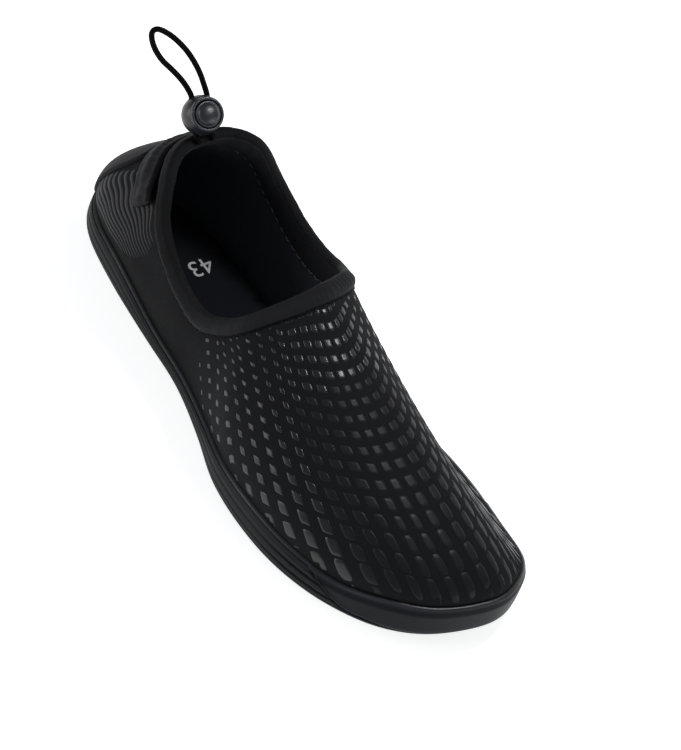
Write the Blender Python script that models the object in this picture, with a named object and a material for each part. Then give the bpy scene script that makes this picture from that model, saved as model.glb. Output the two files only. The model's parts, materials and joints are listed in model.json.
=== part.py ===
"""A right water shoe: cup sole, hollow stretch upper, insole, collar binding, heel patch and cord lock.

The toe points along -Y, the inner side of the foot lies on +X and the floor is z = 0.
Lengths along the foot are counted from the back of the heel. Every table holds shares of the
named sizes, with a row for each section round the shoe: from the heel down the outer side to the
toe and back along the inner side.
"""
import math

import bmesh
import bpy
import numpy as np
from mathutils import Matrix, Vector

MM = 0.001

# Sole sizes
SOLE_LENGTH = 283 * MM
BALL_WIDTH = 102 * MM
SIDE_BAND = 17 * MM
FLOOR_RISE = 3.9 * MM
BAND_WALL = 2.6 * MM
TOE_SPRING = 9.6 * MM
TOE_SPRING_START = 199 * MM
HEEL_BEVEL = 1.5 * MM
HEEL_BEVEL_END = 18 * MM
ARCH_RISE = 3.2 * MM
ARCH_START = 74 * MM
ARCH_END = 154 * MM
GROOVE_DEPTH = 1.1 * MM
LUG_DEPTH = 1.6 * MM
LUG_SLOT = 2.6 * MM
LUG_WAVE = 5 * MM
LUG_MARGIN = 9 * MM
ARCH_OUTER_SHARE = 0.6
HEEL_SLOT_PITCH = 13 * MM
HEEL_SLOT_FIRST = 25 * MM
HEEL_SLOTS = 4
BALL_SLOT_PITCH = 13 * MM
BALL_SLOT_FIRST = 160 * MM
BALL_SLOTS = 8

# Upper sizes
COLLAR_HEIGHT = 82.5 * MM
UPPER_WALL = 2.4 * MM
COLLAR_REST = 1.5 * MM
HANDLE_SPREAD = 15 * MM
GAP = 0.3 * MM

# Trim sizes
BINDING_THICKNESS = 1.3 * MM
BINDING_OUTER_WIDTH = 9 * MM
BINDING_INNER_WIDTH = 13 * MM
PATCH_THICKNESS = 1.1 * MM
TUNNEL_THICKNESS = 1.6 * MM
TUNNEL_WIDTH = 15 * MM
TUNNEL_REACH = 2.35
TUNNEL_FLARE = 2.4 * MM
TUNNEL_FLARE_START = 1.5
COUNTER_FOOT = 0.25
COUNTER_FOOT_REACH = 1.1
COUNTER_TOP_REACH = 1.55
SEAM_WIDTH = 0.9 * MM
INSOLE_THICKNESS = 3.4 * MM
INSOLE_EDGE = 2 * MM
INSOLE_ROUND = 1.4 * MM

# Cord lock sizes
BALL_RADIUS = 9 * MM
RIM_RADIUS = 7.7 * MM
RIM_FOOT = 5 * MM
RIM_HEIGHT = 7.4 * MM
RIM_ROUND = 0.6 * MM
BUTTON_RADIUS = 5.9 * MM
BUTTON_PROUD = 2.8 * MM
BUTTON_TRAVEL = 2.5 * MM
BUTTON_REST = 0.6 * MM
BUTTON_LENGTH = 8 * MM
SLIDE_CLEARANCE = 0.35 * MM
CORD_DIAMETER = 2.6 * MM
CORD_SPREAD = 7.4 * MM
CORD_STEP = 3 * MM
LOCK_TURN = math.radians(-13)
LOCK_LIFT = math.radians(50)
LOCK_BACK = math.radians(28)
LOCK_ASIDE = 1.0 * MM
LOCK_CLEARANCE = 1.2 * MM
LEAD_TURN = 0.25
LEAD_FORWARD = 2.4 * MM

# Mesh counts
COLUMNS = 64
OUTLINE_STEPS = 1040
RIB_STEPS = 80
TURN_STEP = 0.02
SHARE_STEP = 0.01
SOLE_RUNGS = 6
FLOOR_RUNGS = 4
INSOLE_RUNGS = 3
LUG_STEPS = 6
LOFT_ROWS = 9
INNER_ROWS = 4
TURN_SIDES = 24
BALL_STEPS = 9
DOME_STEPS = 6
SOCKET_SIDES = 12
CORD_RINGS = 2
ROUTE_STEPS = 24
SHARP_ANGLE = 40
SNAP_REACH = 0.12
MERGE_DISTANCE = 0.001 * MM

# Places round the shoe: shares of SOLE_LENGTH along, of BALL_WIDTH across, of SIDE_BAND for the band
# and of 1 for the strength of the side ribs
SOLE_COLUMNS = ("place", "along", "across", "band", "ribs")
SOLE_ROWS = (
    ("heel", 0.000, 0.000, 0.66, 0.3),
    ("heel corner, outer", 0.015, -0.140, 0.66, 0.3),
    ("heel side, outer", 0.069, -0.242, 0.74, 0.3),
    ("back quarter, outer", 0.172, -0.301, 0.80, 0.3),
    ("waist back, outer", 0.296, -0.334, 0.46, 0.1),
    ("waist, outer", 0.395, -0.367, 0.38, 0.1),
    ("waist front, outer", 0.490, -0.430, 0.54, 0.5),
    ("ball back, outer", 0.578, -0.509, 0.84, 1.0),
    ("ball, outer", 0.667, -0.532, 0.97, 1.0),
    ("ball front, outer", 0.755, -0.510, 0.97, 1.0),
    ("small toe", 0.843, -0.438, 0.92, 0.7),
    ("toe corner, outer", 0.921, -0.319, 1.10, 0.3),
    ("toe front, outer", 0.973, -0.147, 1.06, 0.2),
    ("toe tip", 0.999, 0.092, 1.04, 0.2),
    ("toe front, inner", 0.984, 0.262, 1.02, 0.2),
    ("toe corner, inner", 0.943, 0.385, 0.97, 0.2),
    ("big toe", 0.861, 0.447, 0.86, 0.2),
    ("ball front, inner", 0.773, 0.486, 0.80, 0.4),
    ("ball, inner", 0.685, 0.479, 0.76, 0.4),
    ("ball back, inner", 0.578, 0.406, 0.70, 0.3),
    ("waist front, inner", 0.490, 0.330, 0.60, 0.1),
    ("waist, inner", 0.395, 0.306, 0.54, 0.1),
    ("waist back, inner", 0.296, 0.309, 0.56, 0.1),
    ("back quarter, inner", 0.190, 0.319, 0.72, 0.3),
    ("heel side, inner", 0.086, 0.272, 0.74, 0.3),
    ("heel corner, inner", 0.019, 0.155, 0.68, 0.3),
)

# The collar edge over the same places, and the two handles that bow each rib of the upper:
# along, across and height are shares of SOLE_LENGTH, BALL_WIDTH and COLLAR_HEIGHT;
# rise and lean shape the rib's foot and reach and drop its top, all as shares of COLLAR_HEIGHT
COLLAR_COLUMNS = ("along", "across", "height", "rise", "lean", "reach", "drop")
COLLAR_ROWS = (
    (0.157, 0.000, 1.010, 0.34, 0.03, 0.06, 0.16),
    (0.166, -0.127, 0.995, 0.36, 0.07, 0.05, 0.18),
    (0.200, -0.235, 0.950, 0.36, 0.13, 0.03, 0.20),
    (0.246, -0.309, 0.776, 0.24, 0.07, 0.03, 0.20),
    (0.316, -0.333, 0.632, 0.15, 0.04, 0.03, 0.16),
    (0.384, -0.329, 0.578, 0.12, 0.02, 0.05, 0.13),
    (0.433, -0.304, 0.680, 0.15, 0.02, 0.12, 0.16),
    (0.462, -0.265, 0.800, 0.20, 0.02, 0.24, 0.18),
    (0.474, -0.196, 0.865, 0.22, 0.02, 0.38, 0.20),
    (0.481, -0.137, 0.905, 0.22, 0.02, 0.52, 0.23),
    (0.487, -0.083, 0.940, 0.20, 0.02, 0.66, 0.27),
    (0.489, -0.039, 0.962, 0.17, 0.02, 0.78, 0.31),
    (0.490, 0.000, 0.973, 0.16, 0.01, 0.86, 0.34),
    (0.489, 0.040, 0.973, 0.15, 0.01, 0.86, 0.37),
    (0.486, 0.082, 0.962, 0.12, -0.07, 0.79, 0.41),
    (0.482, 0.128, 0.946, 0.09, -0.13, 0.67, 0.45),
    (0.476, 0.176, 0.925, 0.07, -0.14, 0.55, 0.45),
    (0.470, 0.212, 0.900, 0.07, -0.15, 0.41, 0.43),
    (0.462, 0.242, 0.865, 0.07, -0.15, 0.29, 0.39),
    (0.443, 0.290, 0.785, 0.10, -0.09, 0.18, 0.30),
    (0.415, 0.342, 0.700, 0.13, -0.02, 0.09, 0.20),
    (0.363, 0.368, 0.630, 0.14, 0.02, 0.03, 0.15),
    (0.306, 0.360, 0.660, 0.16, 0.04, 0.02, 0.16),
    (0.246, 0.332, 0.780, 0.24, 0.06, 0.02, 0.20),
    (0.204, 0.258, 0.975, 0.36, 0.08, 0.03, 0.20),
    (0.168, 0.142, 1.020, 0.34, 0.03, 0.05, 0.18),
)

# Side band of the sole from the ground edge to its top: height as a share of the band,
# inset and groove as shares of BAND_WALL and GROOVE_DEPTH
BAND_COLUMNS = ("height", "inset", "groove")
BAND_ROWS = (
    (0.00, 0.90, 0.0),
    (0.07, 0.35, 0.0),
    (0.20, 0.08, 0.0),
    (0.32, 0.00, 0.0),
    (0.37, 0.00, 1.0),
    (0.42, 0.04, 0.0),
    (0.60, 0.06, 0.0),
    (0.65, 0.10, 1.0),
    (0.71, 0.12, 0.0),
    (0.93, 0.28, 0.0),
    (1.00, 0.50, 0.0),
)

# Distances of the trim's edges below the collar edge, on the outer and the inner face of the upper
OUTER_TRIM = (BINDING_OUTER_WIDTH + TUNNEL_WIDTH, BINDING_OUTER_WIDTH + TUNNEL_WIDTH / 2,
              BINDING_OUTER_WIDTH, BINDING_OUTER_WIDTH / 2)
INNER_TRIM = (BINDING_OUTER_WIDTH + TUNNEL_WIDTH, BINDING_INNER_WIDTH, BINDING_INNER_WIDTH / 2)

# The cord's loop in the lock's own plane: sideways and up from the middle of the lock
LOOP_ROUTE = (
    (-3.7, 7.2), (-3.8, 9.4), (-5.6, 13.6), (-8.0, 17.4), (-11.4, 21.6), (-14.9, 25.6),
    (-17.4, 30.2), (-18.5, 34.8), (-18.0, 38.2), (-15.6, 39.4), (-12.0, 37.9), (-7.7, 34.4),
    (-3.4, 29.3), (-0.4, 24.0), (1.8, 18.4), (3.0, 13.2), (3.7, 9.4), (3.7, 7.2),
)


def read_table(columns, rows):
    """Turn a table's rows into one array for each named column."""
    return {name: np.array([row[place] for row in rows])
            for place, name in enumerate(columns) if name != "place"}


def round_curve(values, turn):
    """Read a closed column at any place between its rows, on a smooth curve through them."""
    count = len(values)
    turn = np.asarray(turn, float) % count
    low = np.floor(turn).astype(int)
    part = turn - low
    before, start, end, after = (values[(low + step) % count] for step in (-1, 0, 1, 2))
    slope_in = (end - before) / 2
    slope_out = (after - start) / 2
    return ((2 * part**3 - 3 * part**2 + 1) * start + (part**3 - 2 * part**2 + part) * slope_in
            + (3 * part**2 - 2 * part**3) * end + (part**3 - part**2) * slope_out)


SOLE = read_table(SOLE_COLUMNS, SOLE_ROWS)
COLLAR = read_table(COLLAR_COLUMNS, COLLAR_ROWS)
BAND = read_table(BAND_COLUMNS, BAND_ROWS)
PLACES = len(SOLE_ROWS)
TURNS = np.arange(COLUMNS) * PLACES / COLUMNS


def smooth_step(value):
    """Rise smoothly from 0 to 1 as the value does."""
    value = np.clip(value, 0, 1)
    return value * value * (3 - 2 * value)


def outline_middle(column, size):
    """Give the middle of the sole's outline in one direction, which goes to the origin."""
    reach = round_curve(SOLE[column], np.linspace(0, PLACES, OUTLINE_STEPS)) * size
    return (reach.max() + reach.min()) / 2


MIDDLE_ALONG = outline_middle("along", SOLE_LENGTH)
MIDDLE_ACROSS = outline_middle("across", BALL_WIDTH)


def plan_point(along, across):
    """Place a point from its distance to the heel and its distance to the foot's middle line."""
    return np.stack([across - MIDDLE_ACROSS, MIDDLE_ALONG - along], axis=-1)


def sole_edge(turn, inset=0.0):
    """Give the sole's outline in plan, moved inwards by the inset."""
    def edge(at):
        return plan_point(round_curve(SOLE["along"], at) * SOLE_LENGTH,
                          round_curve(SOLE["across"], at) * BALL_WIDTH)
    tangent = edge(turn + TURN_STEP) - edge(turn - TURN_STEP)
    tangent /= np.linalg.norm(tangent, axis=-1, keepdims=True)
    outward = np.stack([tangent[..., 1], -tangent[..., 0]], axis=-1)
    return edge(turn) - outward * np.asarray(inset)[..., None], outward


def ground(plan):
    """Give the height of the sole's underside: heel bevel, arch and toe spring, flat between them."""
    along = MIDDLE_ALONG - plan[..., 1]
    inner = smooth_step(0.5 + (plan[..., 0] + MIDDLE_ACROSS) / BALL_WIDTH)
    heel = HEEL_BEVEL * np.clip(1 - along / HEEL_BEVEL_END, 0, 1) ** 2
    arch = ARCH_RISE * (ARCH_OUTER_SHARE + (1 - ARCH_OUTER_SHARE) * inner) * np.sin(
        math.pi * np.clip((along - ARCH_START) / (ARCH_END - ARCH_START), 0, 1)) ** 2
    toe = TOE_SPRING * np.clip((along - TOE_SPRING_START) / (SOLE_LENGTH - TOE_SPRING_START), 0, 1) ** 2
    return heel + arch + toe


def lift(plan, height):
    """Set plan points at a height over the sole's underside."""
    return np.concatenate([plan, (ground(plan) + height)[..., None]], axis=-1)


def upper_foot(turn):
    """Give the foot of each rib, inside the side band, and the heights where the rib stands and leaves it."""
    plan, outward = sole_edge(turn, np.full(np.shape(turn), BAND_WALL + GAP))
    low = ground(plan) + FLOOR_RISE + GAP
    high = ground(plan) + round_curve(SOLE["band"], turn) * SIDE_BAND + COLLAR_REST
    return plan, outward, low, high


def rib_point(turn, share):
    """Give a point of the upper's outer face: share 0 at the edge of the side band, 1 at the collar edge."""
    plan, outward, _, high = upper_foot(turn)
    foot = np.concatenate([plan, high[..., None]], axis=-1)
    column = {name: round_curve(COLLAR[name], turn) for name in COLLAR_COLUMNS}
    top = np.concatenate([plan_point(column["along"] * SOLE_LENGTH, column["across"] * BALL_WIDTH),
                          (column["height"] * COLLAR_HEIGHT)[..., None]], axis=-1)
    out = np.concatenate([outward, np.zeros(outward.shape[:-1] + (1,))], axis=-1)
    away = foot - top + out * HANDLE_SPREAD
    away[..., 2] = 0
    away /= np.linalg.norm(away, axis=-1, keepdims=True)
    rise = np.array([0, 0, COLLAR_HEIGHT])
    low_handle = foot + column["rise"][..., None] * rise + out * (column["lean"] * COLLAR_HEIGHT)[..., None]
    top_handle = top - column["drop"][..., None] * rise + away * (column["reach"] * COLLAR_HEIGHT)[..., None]
    share = np.asarray(share, float)[..., None]
    return ((1 - share) ** 3 * foot + 3 * share * (1 - share) ** 2 * low_handle
            + 3 * share**2 * (1 - share) * top_handle + share**3 * top)


def face_frame(turn, share):
    """Give the outward direction and the direction up the rib on the upper's outer face."""
    turn = np.asarray(turn, float)
    share = np.asarray(share, float) + np.zeros(turn.shape)
    round_way = rib_point(turn + TURN_STEP, share) - rib_point(turn - TURN_STEP, share)
    inside = np.clip(share, SHARE_STEP, 1 - SHARE_STEP)
    up_way = rib_point(turn, inside + SHARE_STEP) - rib_point(turn, inside - SHARE_STEP)
    out = np.cross(round_way, up_way)
    out /= np.linalg.norm(out, axis=-1, keepdims=True)
    up_way /= np.linalg.norm(up_way, axis=-1, keepdims=True)
    return out, up_way


def share_below_collar(turn, distance):
    """Give the rib share that lies a distance below the collar edge, measured along the rib."""
    turn = np.atleast_1d(turn)
    shares = np.linspace(0, 1, RIB_STEPS + 1)
    line = rib_point(turn[:, None] + 0 * shares, shares[None, :] + 0 * turn[:, None])
    steps = np.linalg.norm(np.diff(line, axis=1), axis=2)
    left = np.concatenate([np.cumsum(steps[:, ::-1], axis=1)[:, ::-1], np.zeros((len(turn), 1))], axis=1)
    wanted = np.asarray(distance, float) + np.zeros(len(turn))
    return np.array([np.interp(-want, -row, shares) for want, row in zip(wanted, left)])


def face_point(turn, share, out_by=0.0, up_by=0.0):
    """Give a point off the upper's outer face, moved outwards and up the rib."""
    out, up_way = face_frame(turn, share)
    return rib_point(turn, share) + out * out_by + up_way * up_by


def add_ring(mesh, points):
    """Add a closed row of vertices."""
    return [mesh.verts.new(point) for point in points]


def split_face(mesh, low_here, low_ahead, high_ahead, high_here):
    """Add two triangles, always split the same way, so that nested shells keep their distance."""
    mesh.faces.new((low_here, low_ahead, high_ahead))
    mesh.faces.new((low_here, high_ahead, high_here))


def join_rings(mesh, first, second):
    """Add the faces between two closed rows of vertices."""
    if sum(vert.co.z for vert in second) < sum(vert.co.z for vert in first):
        first, second = second, first
    count = len(first)
    for here in range(count):
        ahead = (here + 1) % count
        split_face(mesh, first[here], first[ahead], second[ahead], second[here])


def close_deck(mesh, ring, heights, crosswise):
    """Close a ring round the shoe with rungs from its outer to its inner side."""
    half = len(ring) // 2
    previous = [ring[0]]
    for here in range(1, half):
        outer, inner = ring[here], ring[-here]
        rung = [outer]
        for step in range(1, crosswise):
            place = outer.co.lerp(inner.co, step / crosswise)
            place.z = heights(np.array([[place.x, place.y]]))[0]
            rung.append(mesh.verts.new(place))
        rung.append(inner)
        join_rungs(mesh, previous, rung)
        previous = rung
    join_rungs(mesh, previous, [ring[half]])


def join_rungs(mesh, first, second):
    """Add the faces between two rungs, one of which may be a single point."""
    if len(first) == 1:
        for step in range(len(second) - 1):
            mesh.faces.new((first[0], second[step], second[step + 1]))
    elif len(second) == 1:
        for step in range(len(first) - 1):
            mesh.faces.new((first[step], second[0], first[step + 1]))
    else:
        for step in range(len(first) - 1):
            mesh.faces.new((first[step], second[step], second[step + 1], first[step + 1]))


def finish_piece(name, mesh, look):
    """Make an object of a finished bmesh, with its faces outwards, its shading and its material."""
    bmesh.ops.recalc_face_normals(mesh, faces=mesh.faces)
    data = bpy.data.meshes.new(name)
    mesh.to_mesh(data)
    mesh.free()
    data.shade_smooth()
    data.set_sharp_from_angle(angle=math.radians(SHARP_ANGLE))
    data.materials.append(look)
    piece = bpy.data.objects.new(name, data)
    bpy.context.collection.objects.link(piece)
    return piece


def make_look(name, colour, roughness):
    """Make a plain Principled material."""
    look = bpy.data.materials.new(name)
    look.use_nodes = True
    shader = look.node_tree.nodes["Principled BSDF"]
    shader.inputs["Base Color"].default_value = (*colour, 1)
    shader.inputs["Roughness"].default_value = roughness
    shader.inputs["Metallic"].default_value = 0
    return look


def build_outsole(look):
    """Build the cup sole: underside, ribbed side band, its rim, the inner wall and the floor."""
    mesh = bmesh.new()
    band = round_curve(SOLE["band"], TURNS) * SIDE_BAND
    ribs = round_curve(SOLE["ribs"], TURNS)
    rings = []
    for height, inset, groove in zip(BAND["height"], BAND["inset"], BAND["groove"]):
        plan, _ = sole_edge(TURNS, inset * BAND_WALL + groove * GROOVE_DEPTH * ribs)
        rings.append(add_ring(mesh, lift(plan, height * band)))
    inner, _ = sole_edge(TURNS, np.full(COLUMNS, BAND_WALL))
    rings.append(add_ring(mesh, lift(inner, band)))
    rings.append(add_ring(mesh, lift(inner, np.full(COLUMNS, FLOOR_RISE))))
    for below, above in zip(rings, rings[1:]):
        join_rings(mesh, below, above)
    close_deck(mesh, rings[0], ground, SOLE_RUNGS)
    close_deck(mesh, rings[-1], lambda plan: ground(plan) + FLOOR_RISE, FLOOR_RUNGS)
    return finish_piece("outsole", mesh, look)


def slot_places():
    """Give the distances from the heel of the slots between the lugs."""
    heel = [HEEL_SLOT_FIRST + step * HEEL_SLOT_PITCH for step in range(HEEL_SLOTS)]
    ball = [BALL_SLOT_FIRST + step * BALL_SLOT_PITCH for step in range(BALL_SLOTS)]
    return heel + ball


def sole_width_at(along):
    """Give how far the sole reaches outwards and inwards at a distance from the heel."""
    half = PLACES / 2
    turn = np.linspace(0, half, OUTLINE_STEPS)
    outer = np.interp(along, round_curve(SOLE["along"], turn) * SOLE_LENGTH,
                      round_curve(SOLE["across"], turn) * BALL_WIDTH)
    back = np.linspace(PLACES, half, OUTLINE_STEPS)
    inner = np.interp(along, round_curve(SOLE["along"], back) * SOLE_LENGTH,
                      round_curve(SOLE["across"], back) * BALL_WIDTH)
    return outer, inner


def cut_lugs(sole):
    """Cut waved slots across the underside, so that the lugs stand between them."""
    mesh = bmesh.new()
    for along in slot_places():
        outer, inner = sole_width_at(along)
        outer += LUG_MARGIN
        inner -= LUG_MARGIN
        front, back = [], []
        for step in range(LUG_STEPS + 1):
            across = outer + (inner - outer) * step / LUG_STEPS
            bend = LUG_WAVE * math.sin(math.pi * step / LUG_STEPS)
            for line, side in ((front, LUG_SLOT / 2), (back, -LUG_SLOT / 2)):
                line.append(plan_point(along + bend + side, across))
        outline = front + back[::-1]
        middle = np.array([plan_point(along + LUG_WAVE / 2, (outer + inner) / 2)])
        top = ground(middle)[0] + LUG_DEPTH
        low = [mesh.verts.new((point[0], point[1], -LUG_DEPTH)) for point in outline]
        high = [mesh.verts.new((point[0], point[1], top)) for point in outline]
        join_rings(mesh, low, high)
        for step in range(LUG_STEPS):
            far = len(outline) - 1 - step
            mesh.faces.new((high[step], high[step + 1], high[far - 1], high[far]))
            mesh.faces.new((low[step + 1], low[step], low[far], low[far - 1]))
    cutter = finish_piece("lug_cutter", mesh, sole.data.materials[0])
    cutter.hide_render = True
    cutter.display_type = "WIRE"
    cut = sole.modifiers.new("lug slots", "BOOLEAN")
    cut.operation = "DIFFERENCE"
    cut.solver = "EXACT"
    cut.object = cutter


def build_insole(look):
    """Build the footbed that lies on the sole's floor inside the upper."""
    mesh = bmesh.new()
    inset = BAND_WALL + GAP + UPPER_WALL + GAP
    under, _ = sole_edge(TURNS, np.full(COLUMNS, inset))
    over, _ = sole_edge(TURNS, np.full(COLUMNS, inset + INSOLE_ROUND))
    low = add_ring(mesh, lift(under, np.full(COLUMNS, FLOOR_RISE + GAP)))
    side = add_ring(mesh, lift(under, np.full(COLUMNS, FLOOR_RISE + GAP + INSOLE_EDGE)))
    high = add_ring(mesh, lift(over, np.full(COLUMNS, FLOOR_RISE + GAP + INSOLE_THICKNESS)))
    join_rings(mesh, low, side)
    join_rings(mesh, side, high)
    close_deck(mesh, low, lambda plan: ground(plan) + FLOOR_RISE + GAP, INSOLE_RUNGS)
    close_deck(mesh, high, lambda plan: ground(plan) + FLOOR_RISE + GAP + INSOLE_THICKNESS, INSOLE_RUNGS)
    return finish_piece("insole", mesh, look)


def row_share(turn, row, steps, trim):
    """Give the rib share of a row of the upper: even steps below the trim, then a row at each trim edge."""
    if row < steps:
        return share_below_collar(turn, trim[0]) * row / steps
    if row < steps + len(trim):
        return share_below_collar(turn, trim[row - steps])
    return np.ones(len(turn))


def upper_rows(turn, steps, trim):
    """Give the rib shares of all the rows of one face of the upper."""
    return [row_share(turn, row, steps, trim) for row in range(steps + len(trim) + 1)]


def build_upper(look):
    """Build the hollow upper: outer face, collar edge, inner face and bottom edge."""
    mesh = bmesh.new()
    plan, outward, low, _ = upper_foot(TURNS)
    foot = np.concatenate([plan, low[:, None]], axis=1)
    outer_shares = upper_rows(TURNS, LOFT_ROWS, OUTER_TRIM)
    inner_shares = upper_rows(TURNS, INNER_ROWS, INNER_TRIM)
    outer = [add_ring(mesh, foot)] + [add_ring(mesh, rib_point(TURNS, share)) for share in outer_shares]
    inner = [add_ring(mesh, face_point(TURNS, share, -UPPER_WALL)) for share in reversed(inner_shares)]
    inner_foot, _ = sole_edge(TURNS, np.full(COLUMNS, BAND_WALL + GAP + UPPER_WALL))
    inner.append(add_ring(mesh, np.concatenate([inner_foot, low[:, None]], axis=1)))
    rings = outer + inner
    for first, second in zip(rings, rings[1:] + rings[:1]):
        join_rings(mesh, first, second)
    return finish_piece("upper", mesh, look)


def build_binding(look):
    """Fold the binding over the collar edge: an outer leg, a rolled top and a longer inner leg."""
    mesh = bmesh.new()
    near, far = GAP, GAP + BINDING_THICKNESS
    back_near, back_far = -UPPER_WALL - near, -UPPER_WALL - far
    middle = -UPPER_WALL / 2
    low = share_below_collar(TURNS, BINDING_OUTER_WIDTH)
    outer_mid = share_below_collar(TURNS, BINDING_OUTER_WIDTH / 2)
    high = np.ones(COLUMNS)
    inner_mid = share_below_collar(TURNS, BINDING_INNER_WIDTH / 2)
    inside = share_below_collar(TURNS, BINDING_INNER_WIDTH)
    section = (
        (low, far, 0.0), (outer_mid, far, 0.0), (high, far, 0.0),
        (high, middle + UPPER_WALL / 3, far), (high, middle - UPPER_WALL / 3, far),
        (high, back_far, 0.0), (inner_mid, back_far, 0.0), (inside, back_far, 0.0),
        (inside, back_near, 0.0), (inner_mid, back_near, 0.0), (high, back_near, 0.0),
        (high, back_near, near), (high, near, near), (high, near, 0.0),
        (outer_mid, near, 0.0), (low, near, 0.0),
    )
    rings = [add_ring(mesh, face_point(TURNS, share, out_by, up_by)) for share, out_by, up_by in section]
    for first, second in zip(rings, rings[1:] + rings[:1]):
        join_rings(mesh, first, second)
    return finish_piece("collar_binding", mesh, look)


def snap_to_column(edge):
    """Move the edge of a patch onto a column of the upper that it would leave as a sliver."""
    nearest = TURNS[np.argmin(np.abs(TURNS - edge))]
    return nearest if abs(nearest - edge) < SNAP_REACH else edge


def build_patch(name, look, rows, edges, thickness, flare=lambda turns, height: 0 * turns):
    """Build a bonded panel over the back of the upper, with the upper's own rows and columns."""
    mesh = bmesh.new()
    edges = [snap_to_column(edge) for edge in edges]
    side = TURNS[(TURNS > 0) & (TURNS < max(edges))]
    columns = np.concatenate([[-max(edges)], -side[::-1], [0.0], side, [max(edges)]])
    layers = []
    for out_by in (GAP, GAP + thickness):
        grid = []
        for height, row, edge in zip(np.linspace(0, 1, len(rows)), rows, edges):
            turns = np.clip(columns, -edge, edge)
            off = (out_by + flare(turns, height))[:, None]
            grid.append([mesh.verts.new(point) for point in face_point(turns, row(turns), off)])
        layers.append(grid)
    under, over = layers
    last, end = len(columns) - 1, len(rows) - 1
    for grid in layers:
        for step in range(end):
            for place in range(last):
                split_face(mesh, grid[step][place], grid[step][place + 1],
                           grid[step + 1][place + 1], grid[step + 1][place])
    border = [(0, place) for place in range(last)] + [(step, last) for step in range(end)]
    border += [(end, place) for place in range(last, 0, -1)] + [(step, 0) for step in range(end, 0, -1)]
    for here, ahead in zip(border, border[1:] + border[:1]):
        mesh.faces.new((under[here[0]][here[1]], under[ahead[0]][ahead[1]],
                        over[ahead[0]][ahead[1]], over[here[0]][here[1]]))
    bmesh.ops.remove_doubles(mesh, verts=mesh.verts, dist=MERGE_DISTANCE)
    return finish_piece(name, mesh, look)


def build_counter(look):
    """Build the heel patch, narrow at the sole and wide under the cord tunnel."""
    def foot_row(turn):
        return COUNTER_FOOT * row_share(turn, 1, LOFT_ROWS, OUTER_TRIM)
    def top_row(turn):
        return share_below_collar(turn, OUTER_TRIM[0] + SEAM_WIDTH)
    rows = [foot_row]
    rows += [lambda turn, row=row: row_share(turn, row, LOFT_ROWS, OUTER_TRIM) for row in range(1, LOFT_ROWS)]
    rows.append(top_row)
    edges = np.linspace(COUNTER_FOOT_REACH, COUNTER_TOP_REACH, len(rows))
    return build_patch("heel_counter", look, rows, edges, PATCH_THICKNESS)


def build_tunnel(look):
    """Build the band that holds the draw cord round the rear of the collar."""
    distances = (OUTER_TRIM[0], OUTER_TRIM[1], OUTER_TRIM[2] + 2 * GAP)
    rows = [lambda turn, distance=distance: share_below_collar(turn, distance) for distance in distances]
    def flare(turns, height):
        """Open the tunnel's mouths: its upper edge stands away from the binding towards both ends."""
        part = (np.abs(turns) - TUNNEL_FLARE_START) / (TUNNEL_REACH - TUNNEL_FLARE_START)
        return TUNNEL_FLARE * height * smooth_step(part)
    return build_patch("cord_tunnel", look, rows, [TUNNEL_REACH] * len(rows), TUNNEL_THICKNESS, flare)


def crest_top(turn):
    """Give the top of the binding, over the middle of the upper's wall."""
    return Vector(face_point(np.array([turn]), np.ones(1), -UPPER_WALL / 2, GAP + BINDING_THICKNESS)[0])


def lock_frame():
    """Give the lock's place and its axes: sideways, along the cord and out of the button."""
    button = Vector((math.sin(LOCK_TURN) * math.cos(LOCK_LIFT), -math.cos(LOCK_TURN) * math.cos(LOCK_LIFT),
                     math.sin(LOCK_LIFT)))
    side = Vector((math.cos(LOCK_TURN), math.sin(LOCK_TURN), 0))
    rise = button.cross(side)
    reach = BALL_RADIUS + LOCK_CLEARANCE
    seat = Vector((LOCK_ASIDE, math.sin(LOCK_BACK) * reach, math.cos(LOCK_BACK) * reach))
    place = crest_top(0.0) + seat
    frame = Matrix((side, rise, button)).transposed().to_4x4()
    return Matrix.Translation(place) @ frame


def turn_profile(profile):
    """Spin a profile of radius and height, which starts and ends on the axis, into a closed body."""
    mesh = bmesh.new()
    verts = [mesh.verts.new((radius, 0, height)) for radius, height in profile]
    edges = [mesh.edges.new(pair) for pair in zip(verts, verts[1:])]
    bmesh.ops.spin(mesh, geom=verts + edges, cent=(0, 0, 0), axis=(0, 0, 1), angle=2 * math.pi,
                   steps=TURN_SIDES, use_merge=True)
    bmesh.ops.remove_doubles(mesh, verts=mesh.verts, dist=MERGE_DISTANCE)
    return mesh


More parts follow.
